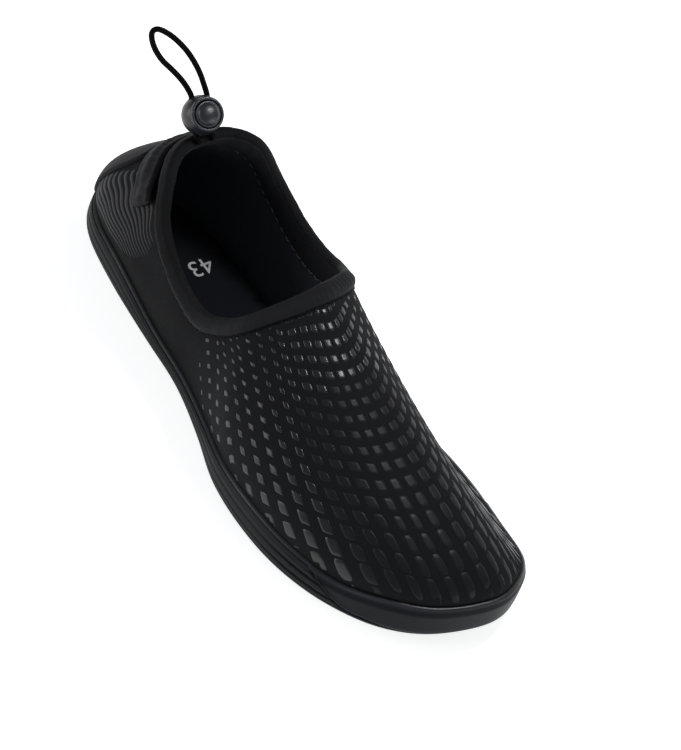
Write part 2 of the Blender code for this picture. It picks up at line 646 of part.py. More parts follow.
def build_lock_body(look, frame):
    """Build the barrel of the cord lock: a ball with a rimmed socket for the button and four cord sockets."""
    floor = RIM_HEIGHT - BUTTON_LENGTH - BUTTON_TRAVEL - BUTTON_REST
    shoulder = math.asin(RIM_FOOT / BALL_RADIUS)
    arc = [(BALL_RADIUS * math.cos(angle), BALL_RADIUS * math.sin(angle))
           for angle in np.linspace(-math.pi / 2, shoulder, BALL_STEPS)]
    socket = BUTTON_RADIUS + SLIDE_CLEARANCE
    profile = [(0, arc[0][1])] + arc[1:] + [
        (RIM_RADIUS, RIM_FOOT + RIM_ROUND), (RIM_RADIUS, RIM_HEIGHT - RIM_ROUND),
        (RIM_RADIUS - RIM_ROUND, RIM_HEIGHT),
        (socket + RIM_ROUND / 2, RIM_HEIGHT), (socket, RIM_HEIGHT - RIM_ROUND), (socket, floor), (0, floor)]
    mesh = turn_profile(profile)
    body = finish_piece("toggle_body", mesh, look)
    body.matrix_world = frame
    cutters = bmesh.new()
    depth = LOOP_ROUTE[0][1] * MM - GAP
    for side in (-1, 1):
        for end in (-1, 1):
            place = Matrix.Translation((side * CORD_SPREAD / 2, end * (depth + CORD_DIAMETER), 0))
            bmesh.ops.create_cone(cutters, cap_ends=True, segments=SOCKET_SIDES,
                                  radius1=CORD_DIAMETER / 2 + 2 * GAP,
                                  radius2=CORD_DIAMETER / 2 + 2 * GAP, depth=2 * CORD_DIAMETER,
                                  matrix=place @ Matrix.Rotation(math.pi / 2, 4, "X"))
    cutter = finish_piece("cord_socket_cutter", cutters, look)
    cutter.matrix_world = frame
    cutter.hide_render = True
    cutter.display_type = "WIRE"
    cut = body.modifiers.new("cord sockets", "BOOLEAN")
    cut.operation = "DIFFERENCE"
    cut.solver = "EXACT"
    cut.object = cutter


def build_button(look, frame):
    """Build the domed push button, which slides in the barrel's socket."""
    foot = RIM_HEIGHT - BUTTON_LENGTH
    dome = [(BUTTON_RADIUS * math.cos(angle), RIM_HEIGHT + BUTTON_PROUD * math.sin(angle))
            for angle in np.linspace(0, math.pi / 2, DOME_STEPS)]
    mesh = turn_profile([(0, foot), (BUTTON_RADIUS, foot)] + dome[:-1] + [(0, dome[-1][1])])
    button = finish_piece("toggle_button", mesh, look)
    button.matrix_world = frame


def smooth_route(points, step):
    """Read points a step apart from a smooth curve through the route's own points."""
    points = [Vector(point) for point in points]
    ends = [2 * points[0] - points[1]] + points + [2 * points[-1] - points[-2]]
    dense = []
    for before, start, end, after in zip(ends, ends[1:], ends[2:], ends[3:]):
        for part in np.linspace(0, 1, ROUTE_STEPS, endpoint=False):
            bow = 2 * before - 5 * start + 4 * end - after
            twist = 3 * start - before - 3 * end + after
            dense.append((2 * start + (end - before) * part + bow * part**2 + twist * part**3) / 2)
    dense.append(points[-1])
    along = np.concatenate([[0], np.cumsum([(b - a).length for a, b in zip(dense, dense[1:])])])
    count = max(3, round(along[-1] / step)) + 1
    marks = np.linspace(0, along[-1], count)
    places = [np.interp(marks, along, [point[axis] for point in dense]) for axis in range(3)]
    return [Vector(place) for place in zip(*places)]


def build_cord(name, points, look):
    """Build a stretch of cord as a filled round tube along its route."""
    route = smooth_route(points, CORD_STEP)
    curve = bpy.data.curves.new(name, "CURVE")
    curve.dimensions = "3D"
    curve.bevel_depth = CORD_DIAMETER / 2
    curve.bevel_resolution = CORD_RINGS
    curve.use_fill_caps = True
    line = curve.splines.new("POLY")
    line.points.add(len(route) - 1)
    for point, place in zip(line.points, route):
        point.co = (*place, 1)
    curve.materials.append(look)
    piece = bpy.data.objects.new(name, curve)
    bpy.context.collection.objects.link(piece)


def build_cords(look, frame):
    """Build the loop over the lock and the two short leads from the collar into it."""
    build_cord("cord_loop", [frame @ Vector((side * MM, rise * MM, 0)) for side, rise in LOOP_ROUTE], look)
    for name, side in (("cord_lead_lateral", -1), ("cord_lead_medial", 1)):
        start = frame @ Vector((side * CORD_SPREAD / 2, -LOOP_ROUTE[0][1] * MM, 0))
        bend = frame @ Vector((side * CORD_SPREAD / 2, -LOOP_ROUTE[1][1] * MM, 0))
        foot = crest_top(-side * LEAD_TURN) + Vector((0, -LEAD_FORWARD, GAP))
        build_cord(name, [start, bend, foot], look)


def main():
    """Clear the scene and build the shoe."""
    for item in list(bpy.data.objects):
        bpy.data.objects.remove(item)
    rubber = make_look("rubber", (0.016, 0.018, 0.022), 0.45)
    foam = make_look("foam", (0.010, 0.011, 0.014), 0.9)
    knit = make_look("stretch_fabric", (0.008, 0.008, 0.009), 0.7)
    edge = make_look("binding_fabric", (0.013, 0.013, 0.014), 0.8)
    plastic = make_look("lock_plastic", (0.05, 0.055, 0.065), 0.4)
    cord = make_look("elastic_cord", (0.006, 0.006, 0.007), 0.6)
    sole = build_outsole(rubber)
    cut_lugs(sole)
    build_insole(foam)
    build_upper(knit)
    build_binding(edge)
    build_counter(edge)
    build_tunnel(edge)
    frame = lock_frame()
    build_lock_body(plastic, frame)
    build_button(plastic, frame)
    build_cords(cord, frame)


main()
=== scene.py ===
"""Dress the right water shoe: cup sole, stretch upper with its printed film, trim, cord lock and cord.

The toe points along -Y, the inner side of the foot lies on +X and the floor is z = 0.
A place on the upper is a turn round the shoe, 0 at the heel and 13 at the toe by the outer side,
and a share of the rib that climbs there from the sole's edge (0) to the collar edge (1).
"""
from __future__ import annotations

import json
import logging
import math
from dataclasses import dataclass
from enum import Enum
from typing import Callable, Optional, Sequence

import bmesh
import bpy
import numpy as np
from mathutils import Matrix, Vector

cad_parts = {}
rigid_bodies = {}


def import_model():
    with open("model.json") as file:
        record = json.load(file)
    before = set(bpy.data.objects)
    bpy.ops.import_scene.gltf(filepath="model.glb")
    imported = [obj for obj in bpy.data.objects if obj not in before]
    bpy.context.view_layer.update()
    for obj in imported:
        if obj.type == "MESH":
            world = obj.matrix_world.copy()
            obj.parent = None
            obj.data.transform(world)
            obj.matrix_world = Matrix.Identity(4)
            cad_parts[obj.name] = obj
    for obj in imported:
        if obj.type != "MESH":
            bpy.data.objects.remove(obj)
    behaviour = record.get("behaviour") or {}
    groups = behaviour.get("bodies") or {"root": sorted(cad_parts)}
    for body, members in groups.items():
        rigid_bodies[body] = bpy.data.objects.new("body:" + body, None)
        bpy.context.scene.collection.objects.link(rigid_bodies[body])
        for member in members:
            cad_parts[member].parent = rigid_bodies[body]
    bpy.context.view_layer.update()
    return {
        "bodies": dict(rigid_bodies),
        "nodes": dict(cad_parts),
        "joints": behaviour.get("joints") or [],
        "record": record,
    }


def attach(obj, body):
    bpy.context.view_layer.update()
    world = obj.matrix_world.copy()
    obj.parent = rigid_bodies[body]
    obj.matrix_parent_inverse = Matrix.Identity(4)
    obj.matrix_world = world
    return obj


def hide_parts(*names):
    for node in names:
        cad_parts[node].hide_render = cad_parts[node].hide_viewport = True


log = logging.getLogger("water_shoe")
MM = 0.001
CRISP = 35
Place = Callable[[np.ndarray, np.ndarray], np.ndarray]
Field = bpy.types.NodeSocket

# Sections round the sole: share of its length along, of the ball width across, of the side band
# for the band's height, and the strength of the side ribs
SOLE_ROWS = (
    (0.000, 0.000, 0.66, 0.3), (0.015, -0.140, 0.66, 0.3), (0.069, -0.242, 0.74, 0.3),
    (0.172, -0.301, 0.80, 0.3), (0.296, -0.334, 0.46, 0.1), (0.395, -0.367, 0.38, 0.1),
    (0.490, -0.430, 0.54, 0.5), (0.578, -0.509, 0.84, 1.0), (0.667, -0.532, 0.97, 1.0),
    (0.755, -0.510, 0.97, 1.0), (0.843, -0.438, 0.92, 0.7), (0.921, -0.319, 1.10, 0.3),
    (0.973, -0.147, 1.06, 0.2), (0.999, 0.092, 1.04, 0.2), (0.984, 0.262, 1.02, 0.2),
    (0.943, 0.385, 0.97, 0.2), (0.861, 0.447, 0.86, 0.2), (0.773, 0.486, 0.80, 0.4),
    (0.685, 0.479, 0.76, 0.4), (0.578, 0.406, 0.70, 0.3), (0.490, 0.330, 0.60, 0.1),
    (0.395, 0.306, 0.54, 0.1), (0.296, 0.309, 0.56, 0.1), (0.190, 0.319, 0.72, 0.3),
    (0.086, 0.272, 0.74, 0.3), (0.019, 0.155, 0.68, 0.3),
)

# The collar edge over the same sections, and the handles that bow each rib
COLLAR_ROWS = (
    (0.157, 0.000, 1.010, 0.34, 0.03, 0.06, 0.16), (0.166, -0.127, 0.995, 0.36, 0.07, 0.05, 0.18),
    (0.200, -0.235, 0.950, 0.36, 0.13, 0.03, 0.20), (0.246, -0.309, 0.776, 0.24, 0.07, 0.03, 0.20),
    (0.316, -0.333, 0.632, 0.15, 0.04, 0.03, 0.16), (0.384, -0.329, 0.578, 0.12, 0.02, 0.05, 0.13),
    (0.433, -0.304, 0.680, 0.15, 0.02, 0.12, 0.16), (0.462, -0.265, 0.800, 0.20, 0.02, 0.24, 0.18),
    (0.474, -0.196, 0.865, 0.22, 0.02, 0.38, 0.20), (0.481, -0.137, 0.905, 0.22, 0.02, 0.52, 0.23),
    (0.487, -0.083, 0.940, 0.20, 0.02, 0.66, 0.27), (0.489, -0.039, 0.962, 0.17, 0.02, 0.78, 0.31),
    (0.490, 0.000, 0.973, 0.16, 0.01, 0.86, 0.34), (0.489, 0.040, 0.973, 0.15, 0.01, 0.86, 0.37),
    (0.486, 0.082, 0.962, 0.12, -0.07, 0.79, 0.41), (0.482, 0.128, 0.946, 0.09, -0.13, 0.67, 0.45),
    (0.476, 0.176, 0.925, 0.07, -0.14, 0.55, 0.45), (0.470, 0.212, 0.900, 0.07, -0.15, 0.41, 0.43),
    (0.462, 0.242, 0.865, 0.07, -0.15, 0.29, 0.39), (0.443, 0.290, 0.785, 0.10, -0.09, 0.18, 0.30),
    (0.415, 0.342, 0.700, 0.13, -0.02, 0.09, 0.20), (0.363, 0.368, 0.630, 0.14, 0.02, 0.03, 0.15),
    (0.306, 0.360, 0.660, 0.16, 0.04, 0.02, 0.16), (0.246, 0.332, 0.780, 0.24, 0.06, 0.02, 0.20),
    (0.204, 0.258, 0.975, 0.36, 0.08, 0.03, 0.20), (0.168, 0.142, 1.020, 0.34, 0.03, 0.05, 0.18),
)

# Side band of the sole from the ground edge up: share of its height, inset as a share of its wall,
# depth of a side groove and depth of a fine line as shares of theirs
BAND_ROWS = (
    (0.00, 0.90, 0.0, 0.0), (0.03, 0.60, 0.0, 0.0), (0.07, 0.35, 0.0, 0.0), (0.13, 0.17, 0.0, 0.0),
    (0.17, 0.10, 0.0, 0.0), (0.19, 0.09, 0.0, 1.0), (0.21, 0.07, 0.0, 0.0), (0.26, 0.02, 0.0, 0.0),
    (0.32, 0.00, 0.0, 0.0), (0.345, 0.00, 0.35, 0.0), (0.37, 0.00, 1.0, 0.0), (0.395, 0.02, 0.35, 0.0),
    (0.42, 0.04, 0.0, 0.0), (0.50, 0.03, 0.0, 0.0), (0.60, 0.06, 0.0, 0.0), (0.625, 0.08, 0.35, 0.0),
    (0.65, 0.10, 1.0, 0.0), (0.68, 0.11, 0.35, 0.0), (0.71, 0.12, 0.0, 0.0), (0.78, 0.13, 0.0, 0.0),
    (0.84, 0.15, 0.0, 0.0), (0.86, 0.16, 0.0, 0.8), (0.88, 0.17, 0.0, 0.0), (0.93, 0.22, 0.0, 0.0),
    (0.975, 0.31, 0.0, 0.0), (1.00, 0.48, 0.0, 0.0),
)

# Columns of the print, the outer side of the foot first: column, place in the fan, its drift over
# 100 mm towards the toe, and how far its rows lie ahead
PRINT_COLUMNS = (
    (-13, 1.60, -7.80, -14.6), (-12, 3.40, -6.80, -12.9), (-11, 4.80, -5.80, -11.3),
    (-10, 6.95, -2.80, -9.7), (-9, 7.86, -1.85, -8.15), (-8, 8.60, -0.90, -6.76), (-7, 9.20, -0.36, -5.43),
    (-6, 9.70, 0.00, -4.20), (-5, 10.13, 0.22, -3.10), (-4, 10.49, 0.45, -2.12), (-3, 10.87, 0.45, -1.25),
    (-2, 11.24, 0.43, -0.55), (-1, 11.59, 0.41, 0.00), (0, 11.90, 0.41, 0.25), (1, 12.21, 0.36, 0.42),
    (2, 12.51, 0.36, 0.38), (3, 12.80, 0.50, 0.07), (4, 13.16, 0.60, -0.56), (5, 13.56, 0.58, -1.42),
    (6, 13.96, 0.50, -2.40), (7, 14.38, 0.35, -3.50), (8, 14.84, 0.10, -4.65), (9, 15.34, -0.20, -5.85),
    (10, 15.90, -0.60, -7.10), (11, 16.52, -1.10, -8.40), (12, 17.20, -1.60, -9.75),
)

# Half a pad's width in columns and half its length in rows, at its distance from the heel in mm
SIDE_PAD_WIDTHS = ((120, 0.15), (165, 0.18), (182, 0.21), (213, 0.26), (235, 0.28), (260, 0.25))
SIDE_PAD_LENGTHS = ((120, 0.16), (165, 0.22), (182, 0.26), (213, 0.35), (225, 0.42), (240, 0.47))
TOP_PAD_LENGTHS = ((150, 0.27), (200, 0.28), (225, 0.36), (245, 0.47))

# How far the pads near the toe lengthen into joined, narrow-ended ones, over the same distance
PAD_JOINING = ((222, 0.0), (240, 1.0))

# Soft hollows of the worn cloth: turn, rib share, width in turns, height in shares, slant, depth in mm
CREASES = (
    (5.2, 0.45, 0.55, 0.28, 1.2, 0.9), (6.2, 0.55, 0.35, 0.30, 1.6, 0.6),
    (3.4, 0.55, 0.30, 0.22, 0.6, 0.8), (22.4, 0.55, 0.30, 0.25, -0.6, 0.7),
    (20.8, 0.50, 0.50, 0.30, -1.0, 0.8), (19.6, 0.60, 0.40, 0.30, -1.4, 0.6),
)

# The cord's loop in the lock's own plane, in mm: sideways and up from the middle of the lock
LOOP_ROUTE = (
    (-3.7, 7.2), (-3.8, 9.4), (-5.6, 13.6), (-8.0, 17.4), (-11.4, 21.6), (-14.9, 25.6),
    (-17.4, 30.2), (-18.5, 34.8), (-18.0, 38.2), (-15.6, 39.4), (-12.0, 37.9), (-7.7, 34.4),
    (-3.4, 29.3), (-0.4, 24.0), (1.8, 18.4), (3.0, 13.2), (3.7, 9.4), (3.7, 7.2),
)


def table_column(rows: Sequence[Sequence[float]], place: int) -> np.ndarray:
    """Give one column of a table as an array."""
    return np.array([row[place] for row in rows], float)


def smooth_step(value: np.ndarray) -> np.ndarray:
    """Rise smoothly from 0 to 1 as the value does."""
    value = np.clip(value, 0, 1)
    return value * value * (3 - 2 * value)


def window(value: np.ndarray, start: float, end: float, run: float) -> np.ndarray:
    """Rise smoothly to 1 in a run past the start, and fall to 0 in a run before the end."""
    return smooth_step((value - start) / run) * smooth_step((end - value) / run)


def soft_peak(value: np.ndarray, middle: np.ndarray | float, width: float) -> np.ndarray:
    """Give a soft peak of height 1 round a middle."""
    return np.exp(-(((value - middle) / width) ** 2))


def at_height(plan: np.ndarray, height: np.ndarray | float) -> np.ndarray:
    """Set plan points at a height."""
    return np.concatenate([plan, np.broadcast_to(height, plan.shape[:-1])[..., None]], axis=-1)


def read_table(rows: Sequence[tuple[float, float]], at: np.ndarray | float) -> np.ndarray:
    """Read a table of two columns, with straight lines between its rows."""
    return np.interp(at, table_column(rows, 0), table_column(rows, 1))


def heading(turn: float, lift: float) -> tuple[Vector, Vector]:
    """Give the direction turned from -Y and lifted from the floor, and the level one on its right."""
    out = Vector((math.sin(turn) * math.cos(lift), -math.cos(turn) * math.cos(lift), math.sin(lift)))
    return out, Vector((math.cos(turn), math.sin(turn), 0))


def round_curve(values: np.ndarray, turn: np.ndarray) -> np.ndarray:
    """Read a closed table column at any turn, on a smooth curve through its rows.

    Args:
        values: The column, one value for each section round the shoe.
        turn: The turns to read it at.

    Returns:
        The value at each turn.
    """
    count = len(values)
    turn = np.asarray(turn, float) % count
    low = np.floor(turn).astype(int)
    part = turn - low
    before, start, end, after = (values[(low + step) % count] for step in (-1, 0, 1, 2))
    slope_in, slope_out = (end - before) / 2, (after - start) / 2
    return ((2 * part**3 - 3 * part**2 + 1) * start + (part**3 - 2 * part**2 + part) * slope_in
            + (3 * part**2 - 2 * part**3) * end + (part**3 - part**2) * slope_out)


@dataclass(frozen=True)
class ShoeForm:
    """The shoe's own surfaces, from its named sizes in metres."""

    length: float = 283 * MM
    ball_width: float = 102 * MM
    side_band: float = 17 * MM
    floor_rise: float = 3.9 * MM
    band_wall: float = 2.6 * MM
    toe_spring: float = 9.6 * MM
    toe_spring_start: float = 199 * MM
    heel_bevel: float = 1.5 * MM
    heel_bevel_end: float = 18 * MM
    arch_rise: float = 3.2 * MM
    arch_start: float = 74 * MM
    arch_end: float = 154 * MM
    arch_outer_share: float = 0.6
    collar_height: float = 82.5 * MM
    wall: float = 2.4 * MM
    collar_rest: float = 1.5 * MM
    handle_spread: float = 15 * MM
    gap: float = 0.3 * MM
    turns: int = 26

    def sole(self, place: int, turn: np.ndarray) -> np.ndarray:
        """Read a column of the sole's table."""
        return round_curve(table_column(SOLE_ROWS, place), turn)

    def middle(self) -> tuple[float, float]:
        """Give the middle of the sole's outline, along and across.

        Returns:
            The two places.
        """
        turn = np.linspace(0, self.turns, 1040)
        along, across = self.sole(0, turn) * self.length, self.sole(1, turn) * self.ball_width
        return (along.max() + along.min()) / 2, (across.max() + across.min()) / 2

    def plan_point(self, along: np.ndarray, across: np.ndarray) -> np.ndarray:
        """Place a point from its distance to the heel and to the foot's middle line."""
        middle_along, middle_across = self.middle()
        return np.stack([across - middle_across, middle_along - along], axis=-1)

    def edge(self, turn: np.ndarray, inset: np.ndarray | float = 0.0) -> tuple[np.ndarray, np.ndarray]:
        """Give the sole's outline in plan.

        Args:
            turn: The turns to read it at.
            inset: How far it is moved inwards.

        Returns:
            The points and the outward directions.
        """
        def outline(at: np.ndarray) -> np.ndarray:
            """Give the outline itself."""
            return self.plan_point(self.sole(0, at) * self.length, self.sole(1, at) * self.ball_width)
        step = 0.02
        tangent = outline(turn + step) - outline(turn - step)
        tangent /= np.linalg.norm(tangent, axis=-1, keepdims=True)
        outward = np.stack([tangent[..., 1], -tangent[..., 0]], axis=-1)
        return outline(turn) - outward * np.broadcast_to(inset, np.shape(turn))[..., None], outward

    def ground(self, plan: np.ndarray) -> np.ndarray:
        """Give the height of the sole's underside: heel bevel, arch and toe spring.

        Args:
            plan: Points in plan.

        Returns:
            The heights.
        """
        middle_along, middle_across = self.middle()
        along = middle_along - plan[..., 1]
        inner = smooth_step(0.5 + (plan[..., 0] + middle_across) / self.ball_width)
        heel = self.heel_bevel * np.clip(1 - along / self.heel_bevel_end, 0, 1) ** 2
        span = np.clip((along - self.arch_start) / (self.arch_end - self.arch_start), 0, 1)
        share = self.arch_outer_share + (1 - self.arch_outer_share) * inner
        toe = np.clip((along - self.toe_spring_start) / (self.length - self.toe_spring_start), 0, 1) ** 2
        return heel + self.arch_rise * share * np.sin(math.pi * span) ** 2 + self.toe_spring * toe

    def lift(self, plan: np.ndarray, height: np.ndarray | float) -> np.ndarray:
        """Set plan points at a height over the sole's underside."""
        return at_height(plan, self.ground(plan) + height)

    def band(self, turn: np.ndarray) -> np.ndarray:
        """Give the height of the sole's side band."""
        return self.sole(2, turn) * self.side_band

    def foot(self, turn: np.ndarray, inset: float = 0.0) -> tuple[np.ndarray, np.ndarray, np.ndarray]:
        """Give a rib's foot in plan and the heights where it stands and leaves the side band.

        Args:
            turn: Places round the shoe.
            inset: How far the foot is moved inwards.

        Returns:
            The foot in plan, the height where it stands and the height where the cloth comes free.
        """
        plan, _ = self.edge(turn, self.band_wall + self.gap + inset)
        low = self.ground(plan) + self.floor_rise + self.gap
        return plan, low, self.ground(plan) + self.band(turn) + self.collar_rest

    def rib(self, turn: np.ndarray, share: np.ndarray) -> np.ndarray:
        """Give points of the upper's outer face.

        Args:
            turn: Places round the shoe.
            share: Places up the rib.

        Returns:
            The points.
        """
        plan, _, high = self.foot(turn)
        outward = self.edge(turn)[1]
        foot = at_height(plan, high)
        along, across, height, rise, lean, reach, drop = (
            round_curve(table_column(COLLAR_ROWS, place), turn) for place in range(7))
        top = at_height(self.plan_point(along * self.length, across * self.ball_width),
                        height * self.collar_height)
        out = at_height(outward, 0.0)
        away = foot - top + out * self.handle_spread
        away[..., 2] = 0
        away /= np.linalg.norm(away, axis=-1, keepdims=True)
        up = np.array([0, 0, self.collar_height])
        low_handle = foot + rise[..., None] * up + out * (lean * self.collar_height)[..., None]
        top_handle = top - drop[..., None] * up + away * (reach * self.collar_height)[..., None]
        share = np.asarray(share, float)[..., None]
        return ((1 - share) ** 3 * foot + 3 * share * (1 - share) ** 2 * low_handle
                + 3 * share**2 * (1 - share) * top_handle + share**3 * top)

    def frame(self, turn: np.ndarray, share: np.ndarray) -> tuple[np.ndarray, np.ndarray]:
        """Give the outward direction and the direction up the rib.

        Args:
            turn: Places round the shoe.
            share: Places up the rib.

        Returns:
            The two directions.
        """
        turn = np.asarray(turn, float)
        share = np.asarray(share, float) + np.zeros(turn.shape)
        inside = np.clip(share, 0.01, 0.99)
        round_way = self.rib(turn + 0.02, share) - self.rib(turn - 0.02, share)
        up_way = self.rib(turn, inside + 0.01) - self.rib(turn, inside - 0.01)
        out = np.cross(round_way, up_way)
        out /= np.linalg.norm(out, axis=-1, keepdims=True)
        return out, up_way / np.linalg.norm(up_way, axis=-1, keepdims=True)

    def below_collar(self, turn: np.ndarray, distance: np.ndarray | float) -> np.ndarray:
        """Give the rib share that lies a distance below the collar edge.

        Args:
            turn: Places round the shoe.
            distance: Distances along the rib, one or one for each turn.

        Returns:
            The shares.
        """
        turn = np.atleast_1d(turn)
        places, which = np.unique(np.round(turn, 6), return_inverse=True)
        shares = np.linspace(0, 1, 81)
        line = self.rib(places[:, None] + 0 * shares, shares[None, :] + 0 * places[:, None])
        steps = np.linalg.norm(np.diff(line, axis=1), axis=2)
        below = np.cumsum(steps[:, ::-1], axis=1)[:, ::-1]
        left = np.concatenate([below, np.zeros((len(places), 1))], axis=1)
        wanted = np.broadcast_to(distance, turn.shape)
        found = np.empty(len(turn))
        for place in range(len(places)):
            mine = which == place
            found[mine] = np.interp(-wanted[mine], -left[place], shares)
        return found

    def face(self, turn: np.ndarray, share: np.ndarray, out_by: np.ndarray | float = 0.0,
             up_by: np.ndarray | float = 0.0) -> np.ndarray:
        """Give points off the upper's outer face.

        Args:
            turn: Places round the shoe.
            share: Places up the rib.
            out_by: Distances outwards.
            up_by: Distances up the rib.

        Returns:
            The points.
        """
        out, up_way = self.frame(turn, share)
        outward = np.broadcast_to(out_by, np.shape(turn))[..., None]
        upward = np.broadcast_to(up_by, np.shape(turn))[..., None]
        return self.rib(turn, share) + out * outward + up_way * upward


SHOE = ShoeForm()


class Shader:
    """One material under construction: adds nodes to its tree and wires them."""

    def __init__(self, name: str) -> None:
        """Start a Principled material.

        Args:
            name: The material's name.
        """
        self.material = bpy.data.materials.new(name)
        self.material.use_nodes = True
        self.tree = self.material.node_tree
        self.surface = self.tree.nodes["Principled BSDF"]
        self.coords = self.node("TexCoord")

    def set(self, **values: float | Sequence[float]) -> None:
        """Set constants on the surface's own sockets, named with _ for a space."""
        for name, value in values.items():
            self.surface.inputs[name.replace("_", " ")].default_value = value

    def feed(self, target: bpy.types.NodeSocket, value: Field | Sequence[float]) -> None:
        """Wire a field to a socket, or set its constant.

        Args:
            target: The socket.
            value: The field or the constant.
        """
        if isinstance(value, bpy.types.NodeSocket):
            self.tree.links.new(value, target)
        else:
            target.default_value = value

    def node(self, kind: str, **inputs: Field | Sequence[float]) -> bpy.types.Node:
        """Add a node and feed its inputs.

        Args:
            kind: Its type.
            inputs: What goes into each input, named with _ for a space.

        Returns:
            The node.
        """
        node = self.tree.nodes.new("ShaderNode" + kind)
        for name, value in inputs.items():
            self.feed(node.inputs[name.replace("_", " ")], value)
        return node

    def object_place(self) -> Field:
        """Give the coordinates of the object."""
        return self.coords.outputs["Object"]

    def chart(self) -> Field:
        """Give the coordinates of the piece's own chart."""
        return self.coords.outputs["UV"]

    def part(self, place: Field, axis: str) -> Field:
        """Give one coordinate of a place."""
        return self.node("SeparateXYZ", Vector=place).outputs[axis]

    def turned(self, place: Field, angle: float) -> Field:
        """Turn a chart in its own plane."""
        return self.node("Mapping", Vector=place, Rotation=(0, 0, angle)).outputs["Vector"]

    def noise(self, place: Field, scale: float, detail: float = 3, roughness: float = 0.5) -> Field:
        """Give a soft random field."""
        node = self.node("TexNoise", Vector=place, Scale=scale, Detail=detail, Roughness=roughness)
        return node.outputs["Fac"]

    def cells(self, place: Field, scale: float) -> Field:
        """Give the distance to the nearest of scattered points."""
        return self.node("TexVoronoi", Vector=place, Scale=scale).outputs["Distance"]

    def waves(self, place: Field, scale: float, direction: str = "X") -> Field:
        """Give even bands across a direction.

        Args:
            place: The coordinates.
            scale: How close the bands are.
            direction: The axis that they cross.

        Returns:
            The field.
        """
        node = self.node("TexWave", Vector=place, Scale=scale, Distortion=0.0)
        node.bands_direction = direction
        return node.outputs["Fac"]

    def combine(self, how: str, *values: Field | float) -> Field:
        """Do arithmetic on fields.

        Args:
            how: The operation.
            values: The fields or numbers that go into it.

        Returns:
            The field.
        """
        node = self.node("Math")
        node.operation = how
        for socket, value in zip(node.inputs, values):
            self.feed(socket, value)
        return node.outputs["Value"]

    def mix(self, first: Field, second: Field, share: float = 0.5) -> Field:
        """Mix two fields by the first one's share."""
        return self.combine("MULTIPLY_ADD", first, share, self.combine("MULTIPLY", second, 1 - share))

    def span(self, value: Field, low: float, high: float, start: float = 0.0, end: float = 1.0) -> Field:
        """Map a field from one span to another, held at its ends."""
        node = self.node("MapRange", Value=value, From_Min=low, From_Max=high, To_Min=start, To_Max=end)
        return node.outputs["Result"]

    def tint(self, share: Field, low: Sequence[float], high: Sequence[float]) -> None:
        """Colour the surface between two colours by a field.

        Args:
            share: The field.
            low: The colour where it is 0.
            high: The colour where it is 1.
        """
        node = self.node("Mix")
        node.data_type = "RGBA"
        for name, value in (("Factor", share), ("A", (*low, 1)), ("B", (*high, 1))):
            self.feed(node.inputs[name], value)
        self.feed(self.surface.inputs["Base Color"], node.outputs["Result"])

    def gloss(self, share: Field, low: float, high: float) -> None:
        """Vary the surface's roughness by a field."""
        self.feed(self.surface.inputs["Roughness"], self.span(share, 0, 1, low, high))

    def relief(self, *layers: tuple[Field, float]) -> None:
        """Raise the surface by fields, one over the other.

        Args:
            layers: Each field with its depth in metres.
        """
        target = self.surface.inputs["Normal"]
        for height, depth in reversed(layers):
            node = self.node("Bump", Distance=depth, Height=height)
            self.feed(target, node.outputs["Normal"])
            target = node.inputs["Normal"]


class Slot(Enum):
    """The record's material slots."""

    RUBBER = "rubber"
    FOAM = "foam"
    FABRIC = "stretch_fabric"
    BINDING = "binding_fabric"
    PLASTIC = "lock_plastic"
    CORD = "elastic_cord"


@dataclass(frozen=True)
class Finish:
    """A finish with its two shades, its roughness and its gloss, plain unless it is of a kind below."""

    name: str
    dark: tuple[float, float, float]
    light: tuple[float, float, float]
    rough: tuple[float, float]
    specular: float = 0.3
    speckle: tuple[float, float] = (2500, 2)

    def start(self) -> Shader:
        """Begin the finish's material.

        Returns:
            The material under construction.
        """
        shader = Shader(self.name)
        shader.set(Metallic=0.0, Specular_IOR_Level=self.specular)
        return shader

    def make(self) -> bpy.types.Material:
        """Make the plain finish: one roughness and a fine uneven shade.

        Returns:
            The material.
        """
        shader = self.start()
        shader.set(Roughness=self.rough[0])
        shader.tint(shader.noise(shader.object_place(), *self.speckle), self.dark, self.light)
        return shader.material


@dataclass(frozen=True)
class StretchCloth(Finish):
    """Smooth knitted face of foamed stretch cloth: a fine knit, a soft nap, slow shade changes and, where
    set, painted light that makes it lighter towards the front of the shoe.
    """

    knit: float = 0.75 * MM
    sheen: float = 0.008
    # Painted light: where set, the span of Y over which the colour grows lighter towards the front of the
    # shoe.
    fade: Optional[tuple[float, float]] = None

    def make(self) -> bpy.types.Material:
        """Make the cloth.

        Returns:
            The material.
        """
        shader = self.start()
        place = shader.object_place()
        slow = shader.noise(place, 22, 3)
        nap = shader.noise(place, 900, 4, 0.7)
        shade = shader.mix(nap, slow)
        # Painted light: the colour is made lighter towards the front of the shoe (lower Y), standing in for
        # the light that falls there.
        if self.fade is not None:
            front = shader.span(shader.part(place, "Y"), *self.fade)
            shade = shader.combine("MULTIPLY", shader.combine("ADD", shade, front), 0.5)
        shader.tint(shade, self.dark, self.light)
        shader.gloss(slow, *self.rough)
        shader.set(Sheen_Weight=self.sheen, Sheen_Roughness=0.45)
        shader.relief((slow, 0.5 * MM), (shader.cells(place, 1 / self.knit), 0.10 * MM), (nap, 0.06 * MM))
        return shader.material


